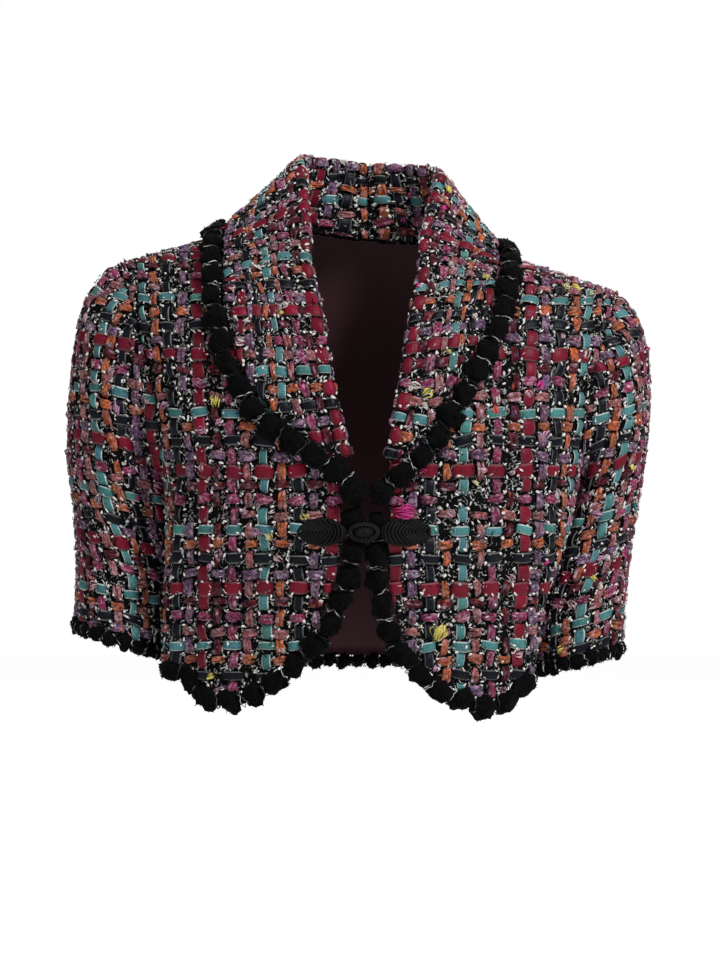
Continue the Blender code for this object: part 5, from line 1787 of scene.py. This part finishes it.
def on_leaf(x, above, height):
    """Points over a front at a place on a leaf, and the directions out of it."""
    x, above, height = np.broadcast_arrays(*(np.asarray(value, float) for value in (x, above, height)))
    points = over_body(x, FROG_Z + above, FRONT, leaf_over(x) + height)
    return points, body_normal(points, FRONT)


def add_leaf(side):
    """A leaf of nested braid: chevrons that point to the frog's middle and round arcs at its inner end."""
    inner, outer = LEAF_X[side]
    length = abs(outer - inner)
    batch = Batch()

    def half_at(out):
        """Half the leaf's height at a distance from its inner end."""
        angle = np.arccos(np.clip(1 - 2 * np.asarray(out, float) / length, -1, 1))
        return LEAF_HALF * np.abs(np.sin(angle)) ** LEAF_POINT[side]

    def x_of(out):
        return inner + side * out

    def rim_of(count, size):
        """Places round the leaf, a little inside its outline: out from its inner end, and above."""
        turn = turns_of(count)
        out = length / 2 * (1 - np.cos(turn)) * size + (1 - size) / 2 * length
        return out, np.copysign(np.maximum(half_at(out) - BRAID_HALF, 0), np.sin(turn))

    def chevron(start, bend, above):
        return start + CHEVRON_SLOPE[side] * (np.sqrt(above ** 2 + bend ** 2) - bend)

    out, rim = rim_of(60, 0.97)
    points, normals = on_leaf(x_of(out), rim, BRAID_HALF)
    add_cord(batch, points, normals, BRAID_HALF, closed=True)

    rows = int((length - 2 * BRAID_HALF) / BRAID_STEP)
    for k in range(1, rows):
        start = k * BRAID_STEP
        bend = mix(CHEVRON_BEND[0], CHEVRON_BEND[1], ease((k - 1) / (CHEVRON_FADE * rows)))
        above = np.linspace(-LEAF_HALF, LEAF_HALF, 121)
        reach = chevron(start, bend, above)
        inside = (np.abs(above) < half_at(reach) - 0.7 * BRAID_HALF) & (reach < length - BRAID_HALF)
        if inside.sum() < 12:
            continue
        above = np.linspace(above[inside].min(), above[inside].max(), 23)
        dome = 1 - (np.abs(above) / LEAF_HALF) ** 2.5
        height = mix(1.0, LEAF_THICK - 0.75 * BRAID_HALF, dome)
        points, normals = on_leaf(x_of(chevron(start, bend, above)), above, height)
        add_cord(batch, points, normals, BRAID_HALF)

    out, rim = rim_of(40, 0.94)
    rings = [on_leaf(x_of(length / 2 + (out - length / 2) * size), rim * size, height)[0]
             for size, height in LEAF_LAYERS]
    batch.add(np.concatenate(rings)[None], tube_faces(len(rings), len(out)))
    leaf = batch.piece(f"frog_braid_leaf_{SIDE_NAME[side]}", SOUTACHE, "soutache")
    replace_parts(leaf, f"frog_leaf_{SIDE_NAME[side]}")


def add_frog_loop():
    """The loop of cord that lies round the knot."""
    batch = Batch()
    angle = turns_of(48)
    for shrink, lift in ((0.0, 0.0), (1.5, 0.45)):
        x = LOOP_CENTRE_X + (LOOP_HALF_X - shrink) * np.cos(angle)
        z = FROG_Z + (LOOP_HALF_Z - shrink) * np.sin(angle)
        points = over_body(x, z, FRONT, OVER_EDGING + LOOP_CORD + lift)
        add_cord(batch, points, body_normal(points, FRONT), LOOP_CORD * 0.72, closed=True, flat=1.0)
    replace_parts(batch.piece("frog_cord_loop", SOUTACHE, "soutache"), "frog_loop")


def add_frog_knot():
    """A knot wound from the same cord."""
    above = OVER_EDGING + KNOT_HALF[1] + KNOT_GAP
    centre = over_body(np.array(KNOT_X), np.array(FROG_Z), FRONT, above)
    batch = Batch()
    core = BALL_POINTS * np.array(KNOT_HALF) * 0.8 + centre
    batch.add(core[None], [BALL_FACES])
    angle = turns_of(28)
    second = np.array((0.0, 1.0, 0.0))
    for tilt in (-62, -35, -10, 15, 40, 65, 90):
        way = math.radians(tilt)
        first = np.array((math.cos(way), 0.0, math.sin(way)))
        third = np.cross(first, second)
        for shift in (-0.2, 0.2):
            ring = unit(np.cos(angle)[:, None] * first + np.sin(angle)[:, None] * second + shift * third)
            centres = centre + ring * (np.array(KNOT_HALF) * KNOT_WINDING - 0.6)
            add_cord(batch, centres, ring, 0.8, closed=True, sides=6, flat=1.0)
    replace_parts(batch.piece("frog_wound_knot", SOUTACHE, "soutache"), "frog_knot")


# The jacket

SEED = 20
WEFT_V = -62.0  # level of a teal weft on the fronts and the back
WEAVES = {
    "front_right": Weave(-81.0, WARP_PITCH, WEFT_V, WEFT_PITCH, 1.0),
    "front_left": Weave(74.5, -WARP_PITCH, WEFT_V, WEFT_PITCH, 1.0),
    "back": Weave(6.0, WARP_PITCH, WEFT_V + 4, WEFT_PITCH, 1.0),
    "sleeve_right": Weave(74.6, 12.6, -256.0, 9.9, 0.95),
    "sleeve_left": Weave(62.5, 12.6, -288.0, 9.9, 0.95),
    "collar_right": Weave(41.1, 9.4, 172.0, 12.9, 0.86),
    "collar_left": Weave(38.7, 8.8, 143.0, 13.9, 0.84),
}
# Each panel's cut: width and length of the cloth that it takes, and its flat area in square metres
Cut = namedtuple("Cut", "width length area")


def add_panel(name, wall, thickness, cloths, seed):
    """A panel's shell and yarns. cloths are its stretches of cloth by the names of their weaves."""
    skin = shell(name, wall, thickness)
    rng = np.random.default_rng(seed)
    ribbons, slubs, threads = Batch(), Batch(), Batch()
    for weave_name, cloth in cloths.items():
        add_floats(cloth, WEAVES[weave_name], ribbons, slubs, rng)
        add_boucle(cloth, WEAVES[weave_name], threads, rng)
    yarns = [ribbons.piece(f"{name}_ribbons", RIBBON, "tweed"), slubs.piece(f"{name}_slubs", SLUB, "tweed"),
             threads.piece(f"{name}_boucle", THREAD, "tweed")]


def build_jacket():
    rng = np.random.default_rng(SEED)
    back = back_panel()
    back_cloth = Cloth(*body_lattice(BACK, back_margin), -1)
    add_panel("back", back, WALL, {"back": back_cloth}, SEED + 1)
    add_edging("hem_edging_back", back_line(back), "hem_trim_back", rng)
    panels = []
    for side in SIDES:
        word = SIDE_NAME[side]
        front = front_panel(side)
        cloth = Cloth(*body_lattice(FRONT, front_margin(side)), 1)
        panels.append(cloth)
        name = f"front_{word}"
        add_panel(name, front, WALL, {name: cloth}, SEED + 3 + side)
        add_edging(f"front_edging_{word}", front_line(side, front), f"front_trim_{word}", rng)
        name = f"sleeve_{word}"
        sleeve = sleeve_panel(side)
        cloth = sleeve_cloth(side)
        panels.append(cloth)
        add_panel(name, sleeve, WALL, {name: cloth}, SEED + 6 + side)
        add_edging(f"sleeve_edging_{word}", sleeve_line(sleeve), f"sleeve_trim_{word}", rng)
        add_leaf(side)
    collar = collar_panel()
    cloths = {f"collar_{SIDE_NAME[side]}": collar_cloth(side) for side in SIDES}
    panels += [back_cloth, *cloths.values()]
    add_panel("collar", collar, COLLAR_WALL, cloths, SEED + 9)
    add_edging("collar_edging", collar_line(collar), "collar_trim", rng)
    add_frog_loop()
    add_frog_knot()
    tufts = Batch()
    add_tufts(panels, tufts, rng)
    tufts.piece("loose_tufts", THREAD, "tweed")


# Stage, camera and lights

FLOOR_Z = -0.62  # metres, as below
CHEST = (0.0, -0.05, -0.2)
CAMERA_PLACE = (-0.006, -3.06, -0.206)
CAMERA_LENS = 142.9
SKY = 0.22  # light from all round, where the studio's white walls are 1
FLOOR_GLOW = 0.74  # makes the floor as pale as the walls


def camera_or(tree, other, shown):
    """A value shown to the camera's own rays, and another for the rest."""
    seen = add_node(tree, "LightPath").outputs["Is Camera Ray"]
    return ranged(tree, seen, 0.0, 1.0, other, shown)


def add_stage():
    """Plain pale floor."""
    bpy.ops.object.select_all(action="DESELECT")
    bpy.ops.mesh.primitive_circle_add(vertices=96, radius=6.0, fill_type="NGON")
    floor = bpy.context.object
    floor.name = "floor"
    for vert in floor.data.vertices:
        vert.co.z = FLOOR_Z
    material, tree = new_material("pale_floor", rough=0.9, shine=0.1, Emission_Color=(1.0, 1.0, 1.0, 1.0))
    glow = camera_or(tree, 0.0, FLOOR_GLOW)
    tree.links.new(glow, tree.nodes["Principled BSDF"].inputs["Emission Strength"])
    tone = mixed(tree, noise(tree, 3.0, 2.0), linear(246, 246, 246), linear(250, 250, 250))
    floor.data.materials.append(dressed(material, tone))


def add_object(name, data, place, turn):
    obj = bpy.data.objects.new(name, data)
    bpy.context.scene.collection.objects.link(obj)
    obj.location, obj.rotation_euler = place, turn
    return obj


def add_light(name, place, size, power):
    """A round lamp that shines at the jacket's chest."""
    light = bpy.data.lights.new(name, "AREA")
    light.shape, light.size, light.energy = "DISK", size, power
    add_object(name, light, place, (Vector(CHEST) - Vector(place)).to_track_quat("-Z", "Y").to_euler())


def add_camera():
    camera = bpy.data.cameras.new("camera")
    camera.lens, camera.sensor_width = CAMERA_LENS, 36.0
    camera.dof.use_dof = False
    bpy.context.scene.camera = add_object("camera", camera, CAMERA_PLACE, (math.pi / 2, 0, 0))


def add_world():
    world = bpy.data.worlds.new("studio")
    world.use_nodes = True
    tree = world.node_tree
    light = tree.nodes["Background"].inputs
    light["Color"].default_value = (1.0, 1.0, 1.0, 1.0)
    tree.links.new(camera_or(tree, SKY, 1.0), light["Strength"])
    bpy.context.scene.world = world


add_camera()
add_stage()
add_world()
add_light("key", (1.5, -1.8, 2.1), 0.7, 80)
add_light("fill", (-1.6, -2.2, 0.7), 1.4, 7)
add_light("rear", (0.3, 2.4, 1.6), 1.2, 34)
bpy.context.scene.view_settings.view_transform = "Standard"

build_jacket()
